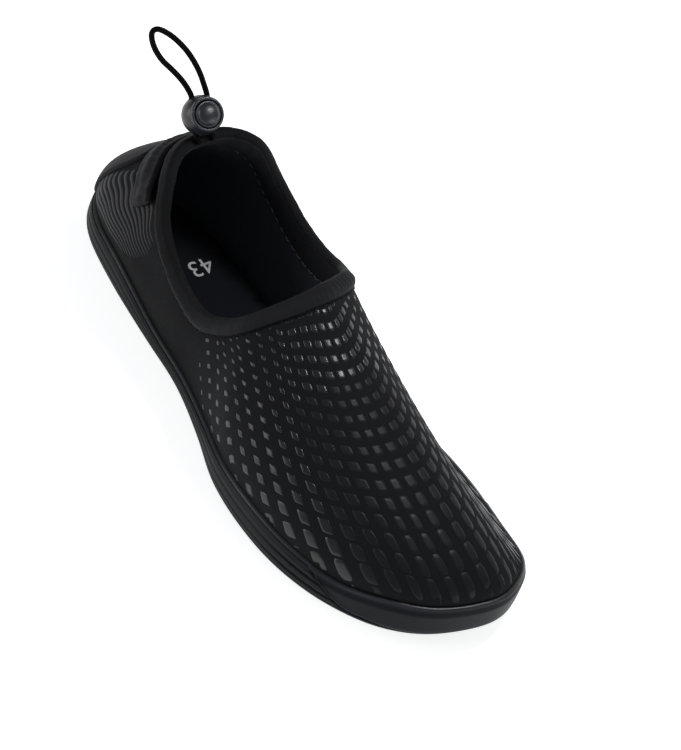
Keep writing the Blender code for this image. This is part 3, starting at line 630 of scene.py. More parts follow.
@dataclass(frozen=True)
class SmoothSkin(Finish):
    """A printed or moulded skin: slow waves, a fine grain and, where it has one, a pebble."""

    waves: tuple[float, float, float] = (60, 2, 0.5)
    wave_depth: float = 0.25 * MM
    grain: tuple[float, float, float] = (1400, 3, 0.6)
    grain_depth: float = 0.03 * MM
    grain_share: float = 0.4
    pebble: Optional[float] = None
    pebble_depth: float = 0.035 * MM

    def make(self) -> bpy.types.Material:
        """Make the skin.

        Returns:
            The material.
        """
        shader = self.start()
        place = shader.object_place()
        slow = shader.noise(place, *self.waves)
        fine = shader.noise(place, *self.grain)
        shader.tint(slow, self.dark, self.light)
        shader.gloss(shader.mix(fine, slow, self.grain_share), *self.rough)
        layers = [(slow, self.wave_depth), (fine, self.grain_depth)]
        if self.pebble is not None:
            layers.insert(1, (shader.cells(place, 1 / self.pebble), self.pebble_depth))
        shader.relief(*layers)
        return shader.material


@dataclass(frozen=True)
class PrintedFilm(SmoothSkin):
    """Raised plastic film printed on the cloth: smooth, a little uneven, glossy."""


@dataclass(frozen=True)
class MouldedRubber(SmoothSkin):
    """Moulded rubber: a satin skin with a fine pebble."""

    waves: tuple[float, float, float] = (30, 4, 0.6)
    wave_depth: float = 0.3 * MM
    grain: tuple[float, float, float] = (1800, 3, 0.5)
    grain_depth: float = 0.02 * MM
    grain_share: float = 0.5
    pebble: Optional[float] = 0.45 * MM


@dataclass(frozen=True)
class MouldedPlastic(SmoothSkin):
    """Moulded plastic with a fine spark-eroded grain and a soft worn gloss."""

    waves: tuple[float, float, float] = (160, 3, 0.5)
    wave_depth: float = 0.08 * MM
    grain: tuple[float, float, float] = (5200, 3, 0.6)
    grain_share: float = 0.5


@dataclass(frozen=True)
class Braid(Finish):
    """Round braided cord: two sets of strands that cross, on a chart in strands."""

    slant: float = math.pi / 4

    def make(self) -> bpy.types.Material:
        """Make the braid.

        Returns:
            The material.
        """
        shader = self.start()
        left, right = (shader.waves(shader.turned(shader.chart(), angle), 1.0)
                       for angle in (self.slant, -self.slant))
        strands = shader.combine("MULTIPLY", left, right)
        shader.tint(strands, self.dark, self.light)
        shader.gloss(strands, *self.rough)
        shader.relief((strands, 0.16 * MM))
        return shader.material


@dataclass(frozen=True)
class FootbedCloth(Finish):
    """Woven cover of the insole: fine crossing threads and a slow wear."""

    thread: float = 0.9 * MM

    def make(self) -> bpy.types.Material:
        """Make the cover.

        Returns:
            The material.
        """
        shader = self.start()
        place = shader.object_place()
        warp, weft = (shader.waves(place, 1 / self.thread / 6.28 * 2, axis) for axis in ("X", "Y"))
        slow = shader.noise(place, 25, 3)
        shader.tint(slow, self.dark, self.light)
        shader.gloss(slow, *self.rough)
        shader.relief((shader.combine("MAXIMUM", warp, weft), 0.10 * MM), (slow, 0.4 * MM))
        return shader.material


# Painted light: the upper's cloth is made lighter towards the toe than at the heel and waist, standing in
# for how the light falls.
CLOTH = StretchCloth("stretch_cloth", (0.0018, 0.0019, 0.0022), (0.0104, 0.0107, 0.0124), (0.60, 0.78),
                     0.05, sheen=0.004, fade=(0.035, 0.0))
# Painted light: the black lining is given a much lighter colour, making up for the little light that
# reaches inside the shoe.
LIT_LINING = StretchCloth("lining_cloth_lit", (0.034, 0.037, 0.043), (0.054, 0.058, 0.068), (0.8, 0.95), 0.03,
                      knit=1.1 * MM, sheen=0.004)
# Painted light: the binding is made lighter towards the throat than at the heel, standing in for how the
# light falls.
BINDING = StretchCloth("binding_cloth", (0.0024, 0.0025, 0.0029), (0.0132, 0.0134, 0.0150), (0.6, 0.8),
                       0.09, knit=0.9 * MM, sheen=0.010, fade=(0.06, 0.025))
# Painted light: the inside of the binding is the same dark cloth in a lighter colour, making up for the
# little light that reaches inside the collar.
LIT_BINDING_INSIDE = StretchCloth("binding_inside_lit", (0.014, 0.0142, 0.0165), (0.026, 0.0265, 0.030), (0.6, 0.8), 0.10,
                    knit=0.9 * MM, sheen=0.010)
PATCH = StretchCloth("patch_cloth", (0.0038, 0.0038, 0.0047), (0.0074, 0.0074, 0.0090), (0.55, 0.72), 0.10,
                     knit=0.7 * MM, sheen=0.008)
FILM = PrintedFilm("printed_film", (0.0056, 0.0058, 0.0069), (0.0094, 0.0097, 0.0114), (0.26, 0.35), 0.38)
# Painted light: the pads towards the toe get a copy of the film with a duller gloss and a lighter colour,
# so they catch less highlight than those near the throat.
DIMMED_TOE_FILM = PrintedFilm("dimmed_toe_film", (0.0074, 0.0076, 0.0089), (0.0120, 0.0124, 0.0143), (0.34, 0.46), 0.12)
RIBBING = PrintedFilm("rib_film", (0.0064, 0.0064, 0.0078), (0.0110, 0.0110, 0.0132), (0.46, 0.60), 0.20)
RUBBER = MouldedRubber("moulded_rubber", (0.0034, 0.0041, 0.0058), (0.0064, 0.0076, 0.0104), (0.38, 0.50),
                       0.09)
# Painted highlight: the rim's lip is the sole's rubber in a lighter colour, standing in for the bright line
# of light along the top of the rim.
LIP_HIGHLIGHT = MouldedRubber("rim_lip_highlight", (0.0110, 0.0125, 0.0155), (0.0210, 0.0235, 0.0290), (0.26, 0.40), 0.50)
PLASTIC = MouldedPlastic("lock_plastic", (0.0085, 0.0098, 0.0132), (0.0155, 0.0178, 0.0230), (0.27, 0.40),
                         0.42)
CORD = Braid("braided_cord", (0.0004, 0.0004, 0.0005), (0.0016, 0.0016, 0.0018), (0.6, 0.8), 0.06)
THREAD = Finish("seam_thread", (0.0012, 0.0012, 0.0014), (0.0040, 0.0040, 0.0044), (0.55, 0.55), 0.10)
FACING = Finish("facing_thread", (0.16, 0.16, 0.18), (0.34, 0.34, 0.37), (0.55, 0.55), 0.25)
# Partly painted light: the footbed's own dark cover colour, set lighter to make up for the little light
# that reaches inside the shoe.
FOOTBED = FootbedCloth("footbed_cloth", (0.0070, 0.0078, 0.0100), (0.0125, 0.0135, 0.0170), (0.75, 0.9),
                       0.06)
INK = Finish("size_ink", (0.45, 0.45, 0.46), (0.70, 0.70, 0.71), (0.6, 0.6), 0.3, speckle=(700, 3))


def shaped_grid(mesh: bmesh.types.BMesh, columns: int, rows: int, place: Place,
                chart: Optional[Place] = None, material: int = 0) -> None:
    """Add a grid and bend it to a surface.

    Args:
        mesh: The mesh that it goes into.
        columns: Faces along the first way.
        rows: Faces along the second way.
        place: Gives the points of two arrays of shares, 0 to 1.
        chart: Gives the chart's coordinates of the same shares.
        material: The material slot of its faces.
    """
    made = bmesh.ops.create_grid(mesh, x_segments=columns, y_segments=rows, size=0.5)["verts"]
    flat = np.array([vert.co for vert in made])[:, :2]
    flat = (flat - flat.min(axis=0)) / (flat.max(axis=0) - flat.min(axis=0))
    faces = {face for vert in made for face in vert.link_faces}
    if chart is not None:
        layer = mesh.loops.layers.uv.verify()
        marks = dict(zip(made, chart(flat[:, 0], flat[:, 1])))
        for face in faces:
            for loop in face.loops:
                loop[layer].uv = marks[loop.vert]
    for face in faces:
        face.material_index = material
    for vert, point in zip(made, place(flat[:, 0], flat[:, 1])):
        vert.co = point


def add_object(name: str, data: bpy.types.ID) -> bpy.types.Object:
    """Put an object into the scene.

    Args:
        name: Its name.
        data: Its mesh, text, light or camera.

    Returns:
        The object.
    """
    thing = bpy.data.objects.new(name, data)
    bpy.context.scene.collection.objects.link(thing)
    return thing


def to_data(name: str, mesh: bmesh.types.BMesh) -> bpy.types.Mesh:
    """Turn a working mesh into mesh data, which uses it up.

    Args:
        name: The data's name.
        mesh: The working mesh.

    Returns:
        The data.
    """
    data = bpy.data.meshes.new(name)
    mesh.to_mesh(data)
    mesh.free()
    return data


def shade(data: bpy.types.Mesh, sharp: float) -> None:
    """Shade a mesh smooth, but crisp at edges past an angle in degrees."""
    data.shade_smooth()
    data.set_sharp_from_angle(angle=math.radians(sharp))


def as_mesh(thing: bpy.types.Object) -> bpy.types.Mesh:
    """Give the mesh of an object as it stands, its modifiers applied."""
    bpy.context.view_layer.update()
    return bpy.data.meshes.new_from_object(thing.evaluated_get(bpy.context.evaluated_depsgraph_get()))


def finish_piece(name: str, mesh: bmesh.types.BMesh, finishes: Sequence[bpy.types.Material],
                 nodes: Sequence[str] = (), body: str = "shoe", sharp: float = CRISP,
                 merge: float = 0.002 * MM) -> bpy.types.Object:
    """Close a mesh, make its object, and set it on its body in place of its CAD nodes.

    Args:
        name: The piece's name.
        mesh: Its mesh.
        finishes: Its materials.
        nodes: The CAD nodes that it stands for.
        body: The body that it rides on.
        sharp: The angle in degrees past which an edge is crisp.
        merge: The distance within which points become one.

    Returns:
        The object.
    """
    bmesh.ops.remove_doubles(mesh, verts=mesh.verts, dist=merge)
    bmesh.ops.dissolve_degenerate(mesh, dist=merge, edges=mesh.edges)
    bmesh.ops.recalc_face_normals(mesh, faces=mesh.faces)
    data = to_data(name, mesh)
    shade(data, sharp)
    for finish in finishes:
        data.materials.append(finish)
    piece = add_object(name, data)
    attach(piece, body)
    if nodes:
        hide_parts(*nodes)
    log.info("%s: %d faces", name, len(data.polygons))
    return piece


def read_stations(stations: Sequence[Sequence[float]], share: np.ndarray) -> list[np.ndarray]:
    """Read each column of a table at shares of its rows, with a straight line between rows."""
    marks = np.linspace(0, 1, len(stations))
    return [np.interp(share, marks, table_column(stations, place)) for place in range(len(stations[0]))]


def cut_away(piece: bpy.types.Object, cutter: bmesh.types.BMesh) -> None:
    """Cut the shape of one mesh out of a piece.

    Args:
        piece: The piece that is cut.
        cutter: The mesh that is taken away, used up by this.
    """
    bmesh.ops.recalc_face_normals(cutter, faces=cutter.faces)
    tool = add_object("cutter", to_data("cutter", cutter))
    cut = piece.modifiers.new("cut", "BOOLEAN")
    cut.operation, cut.solver, cut.object = "DIFFERENCE", "EXACT", tool
    result = as_mesh(piece)
    piece.modifiers.clear()
    shade(result, CRISP)
    piece.data = result
    bpy.data.objects.remove(tool)


@dataclass(frozen=True)
class CupSole:
    """The cup sole: waved lugs below, a ribbed side band, its rim, the inner wall and the floor."""

    columns: int = 480
    spread: tuple[tuple[float, float], ...] = (
        (0.0, 0.0), (0.30, 9.3), (0.44, 11.2), (0.56, 14.8), (0.70, 16.7), (1.0, 26.0))
    groove: float = 0.95 * MM
    line: float = 0.35 * MM
    lug_depth: float = 1.6 * MM
    slot_width: float = 2.6 * MM
    slot_wave: float = 5 * MM
    slot_margin: float = 9 * MM
    slots: tuple[tuple[float, float, int], ...] = ((25 * MM, 13 * MM, 4), (160 * MM, 13 * MM, 8))
    side_rows: int = 96
    calm: float = 0.75
    calm_span: tuple[float, float, float] = (3.5, 9.5, 1.5)
    bumper_span: tuple[float, float, float] = (8.6, 17.6, 0.5)
    bumper_turns: tuple[float, float] = (9.45, 16.55)
    bumper_run: float = 0.6
    bumper_low: float = 0.12
    bumper_groove: float = 0.9 * MM
    bumper_proud: float = 0.6 * MM
    bumper_ridge: float = 0.5 * MM
    seam_width: float = 0.042
    ridge_rise: float = 0.09
    ridge_width: float = 0.05
    lip_height: float = 0.9 * MM
    lip_swell: float = 0.5 * MM
    lip_span: tuple[float, float, float] = (9.5, 17.0, 1.5)
    rounding: float = 0.5 * MM

    def turn_at(self, share: np.ndarray) -> np.ndarray:
        """Give the turn at a share of the columns, which stand closer where the bumper begins."""
        return read_table(self.spread, share)

    def bumper_edge(self, turn: np.ndarray) -> np.ndarray:
        """Give the height share where the toe bumper's lower edge sweeps down from the rim.

        Args:
            turn: Places round the shoe.

        Returns:
            The shares.
        """
        first, last = self.bumper_turns
        reach = np.minimum(turn - first, last - turn) / self.bumper_run
        wave = 0.06 * np.sin(3.2 * np.clip(reach, 0, 2))
        return self.bumper_low + (1.08 - self.bumper_low) * np.exp(-np.clip(reach, -0.4, 9)) + wave

    def side(self, turn: np.ndarray, share: np.ndarray) -> np.ndarray:
        """Give the side band's outer face: ribs along the foot and the smooth bumper over the toe.

        Args:
            turn: Places round the shoe.
            share: Places up the band.

        Returns:
            The points.
        """
        height, inset, groove, line = read_stations(BAND_ROWS, share)
        edge = self.bumper_edge(turn)
        bumper = smooth_step((height - edge) / 0.05 + 0.5) * window(turn, *self.bumper_span)
        calm = 1 - self.calm * window(turn, *self.calm_span)
        cut = (groove * self.groove * SHOE.sole(3, turn) * calm + line * self.line) * (1 - bumper)
        seam = soft_peak(height, edge, self.seam_width) * smooth_step((0.99 - height) / 0.08)
        seam *= np.clip((edge - 0.05) * 4, 0, 1)
        plain = 0.9 * np.exp(-height / 0.07) + 0.1 * height + 0.16 * smooth_step((height - 0.8) / 0.2)
        inset = (inset + (plain - inset) * bumper) * SHOE.band_wall + cut + self.bumper_groove * seam
        ridge = soft_peak(height, edge + self.ridge_rise, self.ridge_width)
        ridge *= np.clip((edge - 0.2) * 3, 0, 1)
        proud = self.bumper_proud * bumper + self.bumper_ridge * ridge
        proud *= smooth_step((0.97 - height) / 0.2)
        plan, _ = SHOE.edge(turn, inset - proud)
        return SHOE.lift(plan, height * SHOE.band(turn))

    def lip(self, turn: np.ndarray, share: np.ndarray) -> np.ndarray:
        """Give the soft lip that runs from the rim up against the cloth.

        Args:
            turn: Places round the shoe.
            share: Places from the rim to the cloth.

        Returns:
            The points.
        """
        rim = self.side(turn, np.ones(len(turn)))
        plan, _ = SHOE.edge(turn, SHOE.band_wall + SHOE.gap / 2)
        top = SHOE.lift(plan, SHOE.band(turn) + self.lip_height)
        spot = rim * (1 - share[:, None]) + top * share[:, None]
        swell = self.lip_swell * np.sin(math.pi * share)
        spot[:, 2] += swell * (0.35 + 0.65 * window(turn, *self.lip_span))
        return spot

    def inner(self, turn: np.ndarray, share: np.ndarray) -> np.ndarray:
        """Give the inner wall, from the lip down to the floor.

        Args:
            turn: Places round the shoe.
            share: Places down the wall.

        Returns:
            The points.
        """
        top = self.lip(turn, np.ones(len(turn)))
        plan, _ = SHOE.edge(turn, SHOE.band_wall)
        part = np.clip(share * 4, 0, 1)[:, None]
        wall = SHOE.band(turn) - self.rounding
        height = wall + (SHOE.floor_rise - wall) * np.clip((share - 0.25) / 0.75, 0, 1)
        return top * (1 - part) + SHOE.lift(plan, height) * part

    def deck(self, inset: float, height: float) -> Place:
        """Give the surface across the sole at an inset and a height.

        Args:
            inset: Its distance inside the outline.
            height: Its height over the underside.

        Returns:
            The surface, by shares across and along it.
        """
        def place(across: np.ndarray, half: np.ndarray) -> np.ndarray:
            """Run from the outer edge to the inner edge on each rung.

            Args:
                across: Places across the sole.
                half: Places from heel to toe.

            Returns:
                The points.
            """
            outer, _ = SHOE.edge(self.turn_at(half / 2), inset)
            inner, _ = SHOE.edge(SHOE.turns - self.turn_at(half / 2), inset)
            return SHOE.lift(outer + (inner - outer) * across[:, None], height)
        return place

    def slot(self, along: float, low: float, high: float) -> Place:
        """Give the surface of one waved bar across the sole.

        Args:
            along: Its distance from the heel.
            low: Where it starts across the sole.
            high: Where it ends.

        Returns:
            The surface, by shares across the sole and round the bar.
        """
        middle = SHOE.plan_point(np.array([along + self.slot_wave / 2]), np.array([(low + high) / 2]))
        top = SHOE.ground(middle)[0] + self.lug_depth

        def place(across: np.ndarray, around: np.ndarray) -> np.ndarray:
            """Give the bar's points.

            Args:
                across: Places across the sole.
                around: Places round the bar.

            Returns:
                The points.
            """
            corner = np.round(around * 4).astype(int) % 4
            sideways = np.array([-0.5, 0.5, 0.5, -0.5])[corner] * self.slot_width
            height = np.array([-self.lug_depth, -self.lug_depth, top, top])[corner]
            bend = self.slot_wave * np.sin(math.pi * across)
            plan = SHOE.plan_point(along + bend + sideways, low + (high - low) * across)
            return at_height(plan, height)
        return place

    def slot_cutter(self) -> bmesh.types.BMesh:
        """Build the waved bars that leave the slots between the lugs.

        Returns:
            The bars as one mesh.
        """
        mesh = bmesh.new()
        turn = np.linspace(0, SHOE.turns / 2, 600)
        sides = [(SHOE.sole(0, at) * SHOE.length, SHOE.sole(1, at) * SHOE.ball_width)
                 for at in (turn, SHOE.turns - turn)]
        for first, pitch, count in self.slots:
            for along in first + pitch * np.arange(count):
                low, high = (np.interp(along, *side) for side in sides)
                shaped_grid(mesh, 14, 4, self.slot(along, low + self.slot_margin, high - self.slot_margin))
        bmesh.ops.remove_doubles(mesh, verts=mesh.verts, dist=0.01 * MM)
        bmesh.ops.holes_fill(mesh, edges=mesh.edges, sides=4)
        return mesh

    def build(self) -> bpy.types.Object:
        """Build and dress the sole.

        Returns:
            The object.
        """
        mesh = bmesh.new()
        shaped_grid(mesh, self.columns, self.side_rows, lambda u, v: self.side(self.turn_at(u), v))
        # The lip takes the second finish, the lighter rubber: a painted highlight along the rim's top.
        shaped_grid(mesh, self.columns, 4, lambda u, v: self.lip(self.turn_at(u), v), material=1)
        shaped_grid(mesh, self.columns, 8, lambda u, v: self.inner(self.turn_at(u), v))
        under = BAND_ROWS[0][1] * SHOE.band_wall
        shaped_grid(mesh, 12, self.columns // 2, self.deck(under, 0.0))
        shaped_grid(mesh, 8, self.columns // 2, self.deck(SHOE.band_wall, SHOE.floor_rise))
        piece = finish_piece("cup_sole", mesh, [RUBBER.make(), LIP_HIGHLIGHT.make()], ["outsole"],
                             merge=0.02 * MM)
        cut_away(piece, self.slot_cutter())
        return piece


@dataclass(frozen=True)
class Footbed:
    """The insole: a cover with a soft rolled edge and the size in plain figures."""

    columns: int = 192
    thickness: float = 3.4 * MM
    rounding: float = 1.4 * MM
    size_mark: str = "43"
    mark_height: float = 13 * MM
    mark_place: tuple[float, float] = (60 * MM, 10 * MM)
    mark_rise: float = 0.05 * MM
    mark_thickness: float = 0.04 * MM

    def inset(self) -> float:
        """Give the footbed's distance inside the sole's outline."""
        return SHOE.band_wall + 2 * SHOE.gap + SHOE.wall

    def edge(self, turn: np.ndarray, share: np.ndarray) -> np.ndarray:
        """Give the rolled edge from the bottom to the top.

        Args:
            turn: Places round the shoe.
            share: Places up the edge.

        Returns:
            The points.
        """
        stations = ((0.0, 0.0), (0.0, 0.25), (0.0, 0.55), (0.12, 0.78), (0.45, 0.94), (1.0, 1.0))
        across, up = read_stations(stations, share)
        plan, _ = SHOE.edge(turn, self.inset() + across * self.rounding)
        return SHOE.lift(plan, SHOE.floor_rise + SHOE.gap + up * self.thickness)

    def top(self, plan: np.ndarray) -> np.ndarray:
        """Give points on the footbed's top."""
        return SHOE.lift(plan, SHOE.floor_rise + SHOE.gap + self.thickness)

    def build(self) -> list[bpy.types.Object]:
        """Build and dress the footbed and its size mark.

        Returns:
            The objects.
        """
        mesh = bmesh.new()
        deck = CupSole().deck
        base = SHOE.floor_rise + SHOE.gap
        shaped_grid(mesh, self.columns, 10, lambda u, v: self.edge(u * SHOE.turns, v))
        shaped_grid(mesh, 10, self.columns // 2, deck(self.inset() + self.rounding, base + self.thickness))
        shaped_grid(mesh, 6, self.columns // 2, deck(self.inset(), base))
        bed = finish_piece("footbed", mesh, [FOOTBED.make()], ["insole"], sharp=60,
                           merge=0.02 * MM)
        return [bed, self.build_mark()]

    def build_mark(self) -> bpy.types.Object:
        """Print the size on the heel of the footbed.

        Returns:
            The object.
        """
        curve = bpy.data.curves.new("size_mark", "FONT")
        curve.body = self.size_mark
        curve.size = self.mark_height
        curve.align_x, curve.align_y = "CENTER", "CENTER"
        text = add_object("size_mark_text", curve)
        mesh = bmesh.new()
        mesh.from_mesh(as_mesh(text))
        bpy.data.objects.remove(text)
        bmesh.ops.triangulate(mesh, faces=mesh.faces)
        bmesh.ops.subdivide_edges(mesh, edges=mesh.edges, cuts=2)
        along, across = self.mark_place
        for vert in mesh.verts:
            spot = SHOE.plan_point(np.array(along + vert.co.y), np.array(across - vert.co.x))
            vert.co = Vector(self.top(spot[None])[0]) + Vector((0, 0, self.mark_rise))
        bmesh.ops.solidify(mesh, geom=mesh.faces[:], thickness=self.mark_thickness)
        return finish_piece("size_mark", mesh, [INK.make()])


@dataclass(frozen=True)
class Upper:
    """The hollow stretch upper: outer face, collar edge, lined inner face and bottom edge."""

    columns: int = 384
    outer_rows: int = 84
    inner_rows: int = 40

    def creases(self, turn: np.ndarray, share: np.ndarray) -> np.ndarray:
        """Give the soft troughs and ridges of the worn cloth, outwards in metres.

        Args:
            turn: Places round the shoe.
            share: Places up the rib.

        Returns:
            The distances outwards, below 0 in a trough.
        """
        calm = smooth_step(share / 0.1) * smooth_step((1 - share) / 0.15)
        hollows = sum(depth * MM * soft_peak(turn, at + slant * (share - height), wide)
                      * soft_peak(share, height, tall) for at, height, wide, tall, slant, depth in CREASES)
        return -calm * hollows

    def place(self, turn: np.ndarray, way: np.ndarray) -> np.ndarray:
        """Give the closed section: up the outer face, over the edge, down the inner face and back.

        Args:
            turn: Places round the shoe.
            way: Places round the section, 0 to the whole count of rows.

        Returns:
            The points.
        """
        outer, inner = self.outer_rows, self.inner_rows
        foot_plan, low, _ = SHOE.foot(turn)
        foot = at_height(foot_plan, low)
        inner_foot = at_height(SHOE.foot(turn, SHOE.wall - SHOE.gap)[0], low)
        share_out = np.clip((way - 3) / outer, 0, 1)
        share_in = np.clip(1 - (way - 5 - outer) / inner, 0, 1)
        face_out = SHOE.face(turn, share_out, self.creases(turn, share_out))
        face_in = SHOE.face(turn, share_in, -SHOE.wall + 0.6 * self.creases(turn, share_in))
        up = np.clip(way / 3, 0, 1)[:, None]
        down = np.clip((way - 5 - outer - inner) / 3, 0, 1)[:, None]
        points = np.where(way[:, None] < 3, foot * (1 - up) + face_out * up, face_out)
        points = np.where(way[:, None] > 4.5 + outer, face_in * (1 - down) + inner_foot * down, points)
        crest = SHOE.face(turn, np.ones(len(turn)), -SHOE.wall / 2, 0.5 * MM)
        points = np.where(np.abs(way[:, None] - 4 - outer) < 0.1, crest, points)
        return np.where(way[:, None] > 8.5 + outer + inner, foot, points)

    def build(self) -> bpy.types.Object:
        """Build and dress the upper.

        Returns:
            The object.
        """
        rows = self.outer_rows + self.inner_rows + 9
        mesh = bmesh.new()
        shaped_grid(mesh, self.columns, rows, lambda u, v: self.place(u * SHOE.turns, np.round(v * rows)),
                    lambda u, v: np.stack([u * SHOE.turns, v * rows], axis=1))
        layer = mesh.loops.layers.uv.verify()
        for face in mesh.faces:
            if min(loop[layer].uv.y for loop in face.loops) > self.outer_rows + 3.5:
                face.material_index = 1
        # The inner face takes the lining, whose lighter colour is painted light inside the shoe.
        return finish_piece("stretch_upper", mesh, [CLOTH.make(), LIT_LINING.make()], ["upper"],
                            sharp=60, merge=0.01 * MM)


@dataclass(frozen=True)
class FilmPrint:
    """The raised film print: small pads on a bent grid that fans from the throat, growing to the toe.

    A pad has a column and a row. Columns are close together over the middle of the foot and wider at
    its sides; rows are further apart towards the toe and fall away to both sides.
    """

    fan_middle: float = 12.2
    fan: float = 0.5
    drift_middle: float = 190 * MM
    row_start: float = 35 * MM
    row_growth: float = 120 * MM
    row_rate: float = 22.64
    throat_rows: float = 4.0
    throat_stretch: float = 0.05
    first_along: float = 119 * MM
    last_along: float = 284 * MM
    row_span: tuple[float, float] = (-16, 36)
    pad_steps: tuple[float, ...] = (-1.0, -0.88, -0.5, 0.0, 0.5, 0.88, 1.0)
    height: float = 0.19 * MM
    sunk: float = 0.06 * MM
    crown: float = 0.12
    corner: float = 0.10
    top_width: float = 0.33
    joined_slimming: float = 0.06
    narrowing: float = 0.08
    joined_narrowing: float = 0.30
    binding_width: float = 7.6 * MM
    dimmed_columns: tuple[float, float] = (-4.5, 6.5)
    dimmed_along: float = 175 * MM

    def along(self, column: np.ndarray, row: np.ndarray) -> np.ndarray:
        """Give the distance from the heel of a place in the print.

        Args:
            column: Columns.
            row: Rows.

        Returns:
            The distances.
        """
        shift = np.interp(column, table_column(PRINT_COLUMNS, 0), table_column(PRINT_COLUMNS, 3))
        middle = np.clip(1.5 - np.abs(column - 1) / 3, 0, 1)
        early = np.clip(self.throat_rows - (row + shift), 0, 9) ** 2 * self.throat_stretch * middle
        return self.row_start + self.row_growth * np.exp((row + shift - early) / self.row_rate)

    def find(self, column: np.ndarray, row: np.ndarray) -> tuple[np.ndarray, np.ndarray]:
        """Find the turn and the rib share of places in the print.

        Args:
            column: Their columns.
            row: Their rows.

        Returns:
            The turns and the shares.
        """
        marks, middles, drifts = (table_column(PRINT_COLUMNS, place) for place in range(3))
        along = self.along(column, row)
        drift = np.interp(column, marks, drifts) * (along - self.drift_middle) / (100 * MM)
        fan = np.interp(column, marks, middles) + drift - self.fan_middle
        wanted = SHOE.middle()[0] - along
        low, high = np.zeros(len(column)), np.ones(len(column))
        for _ in range(22):
            share = (low + high) / 2
            turn = self.fan_middle + fan / (1 - self.fan * share)
            behind = SHOE.rib(turn, share)[:, 1] < wanted
            low, high = np.where(behind, share, low), np.where(behind, high, share)
        share = (low + high) / 2
        return self.fan_middle + fan / (1 - self.fan * share), share

    def pad_size(self, column: float, along: float) -> tuple[float, float, float]:
        """Give a pad's half width in columns, half length in rows, and how far its ends narrow.

        Args:
            column: Its column.
            along: Its distance from the heel.

        Returns:
            The three sizes.
        """
        side = float(smooth_step(np.array((abs(column - 0.5) - 3.0) / 3)))
        joining = read_table(PAD_JOINING, along / MM)
        top_wide = self.top_width - self.joined_slimming * joining
        wide = read_table(SIDE_PAD_WIDTHS, along / MM) * side + top_wide * (1 - side)
        long = (read_table(SIDE_PAD_LENGTHS, along / MM) * side
                + read_table(TOP_PAD_LENGTHS, along / MM) * (1 - side))
        return float(wide), float(long), float(self.narrowing + self.joined_narrowing * joining)

    def pads(self) -> list[tuple[float, float]]:
        """List the pads by column and row.

        Returns:
            Each pad's column and row.
        """
        found = []
        rows = np.arange(*self.row_span, 1.0)
        for column in table_column(PRINT_COLUMNS, 0):
            along = self.along(np.full(len(rows), column), rows)
            found += [(column, row) for row in rows[(along > self.first_along) & (along < self.last_along)]]
        return found

    def build(self) -> bpy.types.Object:
        """Build and dress the print.

        Returns:
            The object.
        """
        mesh = bmesh.new()
        columns, rows, rises, verts = [], [], [], []
        steps = np.array(self.pad_steps)
        count = len(steps) - 1
        for column, row in self.pads():
            along = float(self.along(np.array([column]), np.array([row]))[0])
            width, length, narrow = self.pad_size(column, along)
            made = bmesh.ops.create_grid(mesh, x_segments=count, y_segments=count, size=0.5)["verts"]
            across = steps[np.round([(vert.co.x + 0.5) * count for vert in made]).astype(int)]
            ahead = steps[np.round([(vert.co.y + 0.5) * count for vert in made]).astype(int)]
            columns.append(column + across * width * (1 - narrow * ahead**4))
            rows.append(row + ahead * length * (1 - self.corner * across**4))
            # Pads towards the toe take the duller, lighter copy of the film: painted light in place of
            # their highlight.
            worn = self.dimmed_columns[0] < column < self.dimmed_columns[1] and along > self.dimmed_along
            for face in {face for vert in made for face in vert.link_faces}:
                face.material_index = int(worn)
            border = np.maximum(np.abs(across), np.abs(ahead)) > 0.95
            crown = self.height * (1 - self.crown * (across**2 + ahead**2))
            rises.append(np.where(border, -self.sunk, crown))
            verts += made
        turn, share = self.find(np.concatenate(columns), np.concatenate(rows))
        points = SHOE.face(turn, share, np.concatenate(rises) + Upper().creases(turn, share))
        for vert, point in zip(verts, points):
            vert.co = point
        kept = (share > 0.004) & (share < SHOE.below_collar(np.round(turn, 2), self.binding_width))
        outside = [vert for vert, inside in zip(verts, kept) if not inside]
        bmesh.ops.delete(mesh, geom=outside, context="VERTS")
        return finish_piece("film_print", mesh, [FILM.make(), DIMMED_TOE_FILM.make()], sharp=70,
                            merge=0.004 * MM)


@dataclass(frozen=True)
class QuarterRibs:
    """The wavy film ribs on both sides of the heel, from the heel patch forwards."""

    count: int = 13
    low: float = 0.12
    high: float = 0.80
    start: float = 1.42
    end: float = 3.55
    height: float = 0.24 * MM
    sunk: float = 0.04 * MM
    half_width: float = 0.016

    def place(self, side: int, level: float) -> Place:
        """Give one rib's surface.

        Args:
            side: 1 on the outer side of the foot and -1 on the inner side.
            level: Its rib share at the patch.

        Returns:
            The surface, by shares along and across it.
        """
        def points(along: np.ndarray, across: np.ndarray) -> np.ndarray:
            """Run forwards from the heel patch, waving and thinning out.

            Args:
                along: Places along the rib.
                across: Places across it.

            Returns:
                The points.
            """
            reach = self.start + (self.end - self.start) * (0.75 + 0.25 * math.sin(3 * level)) * along
            fade = smooth_step(along / 0.04) * smooth_step((1 - along) / 0.55)
            middle = level + 0.012 * np.sin(9 * reach + 5 * level) - 0.10 * along * (level - 0.4)
            share = middle + (across - 0.5) * 2 * self.half_width * (0.35 + 0.65 * fade)
            turn = side * reach
            up = self.height * fade * np.sqrt(np.clip(1 - (2 * across - 1) ** 2, 0, 1)) - self.sunk
            return SHOE.face(turn, share, up + Upper().creases(turn % SHOE.turns, share))
        return points

    def build(self) -> bpy.types.Object:
        """Build and dress the ribs.

        Returns:
            The object.
        """
        mesh = bmesh.new()
        for side in (1, -1):
            for level in np.linspace(self.low, self.high, self.count):
                shaped_grid(mesh, 70, 6, self.place(side, float(level)))
        return finish_piece("quarter_ribs", mesh, [RIBBING.make()], sharp=70)


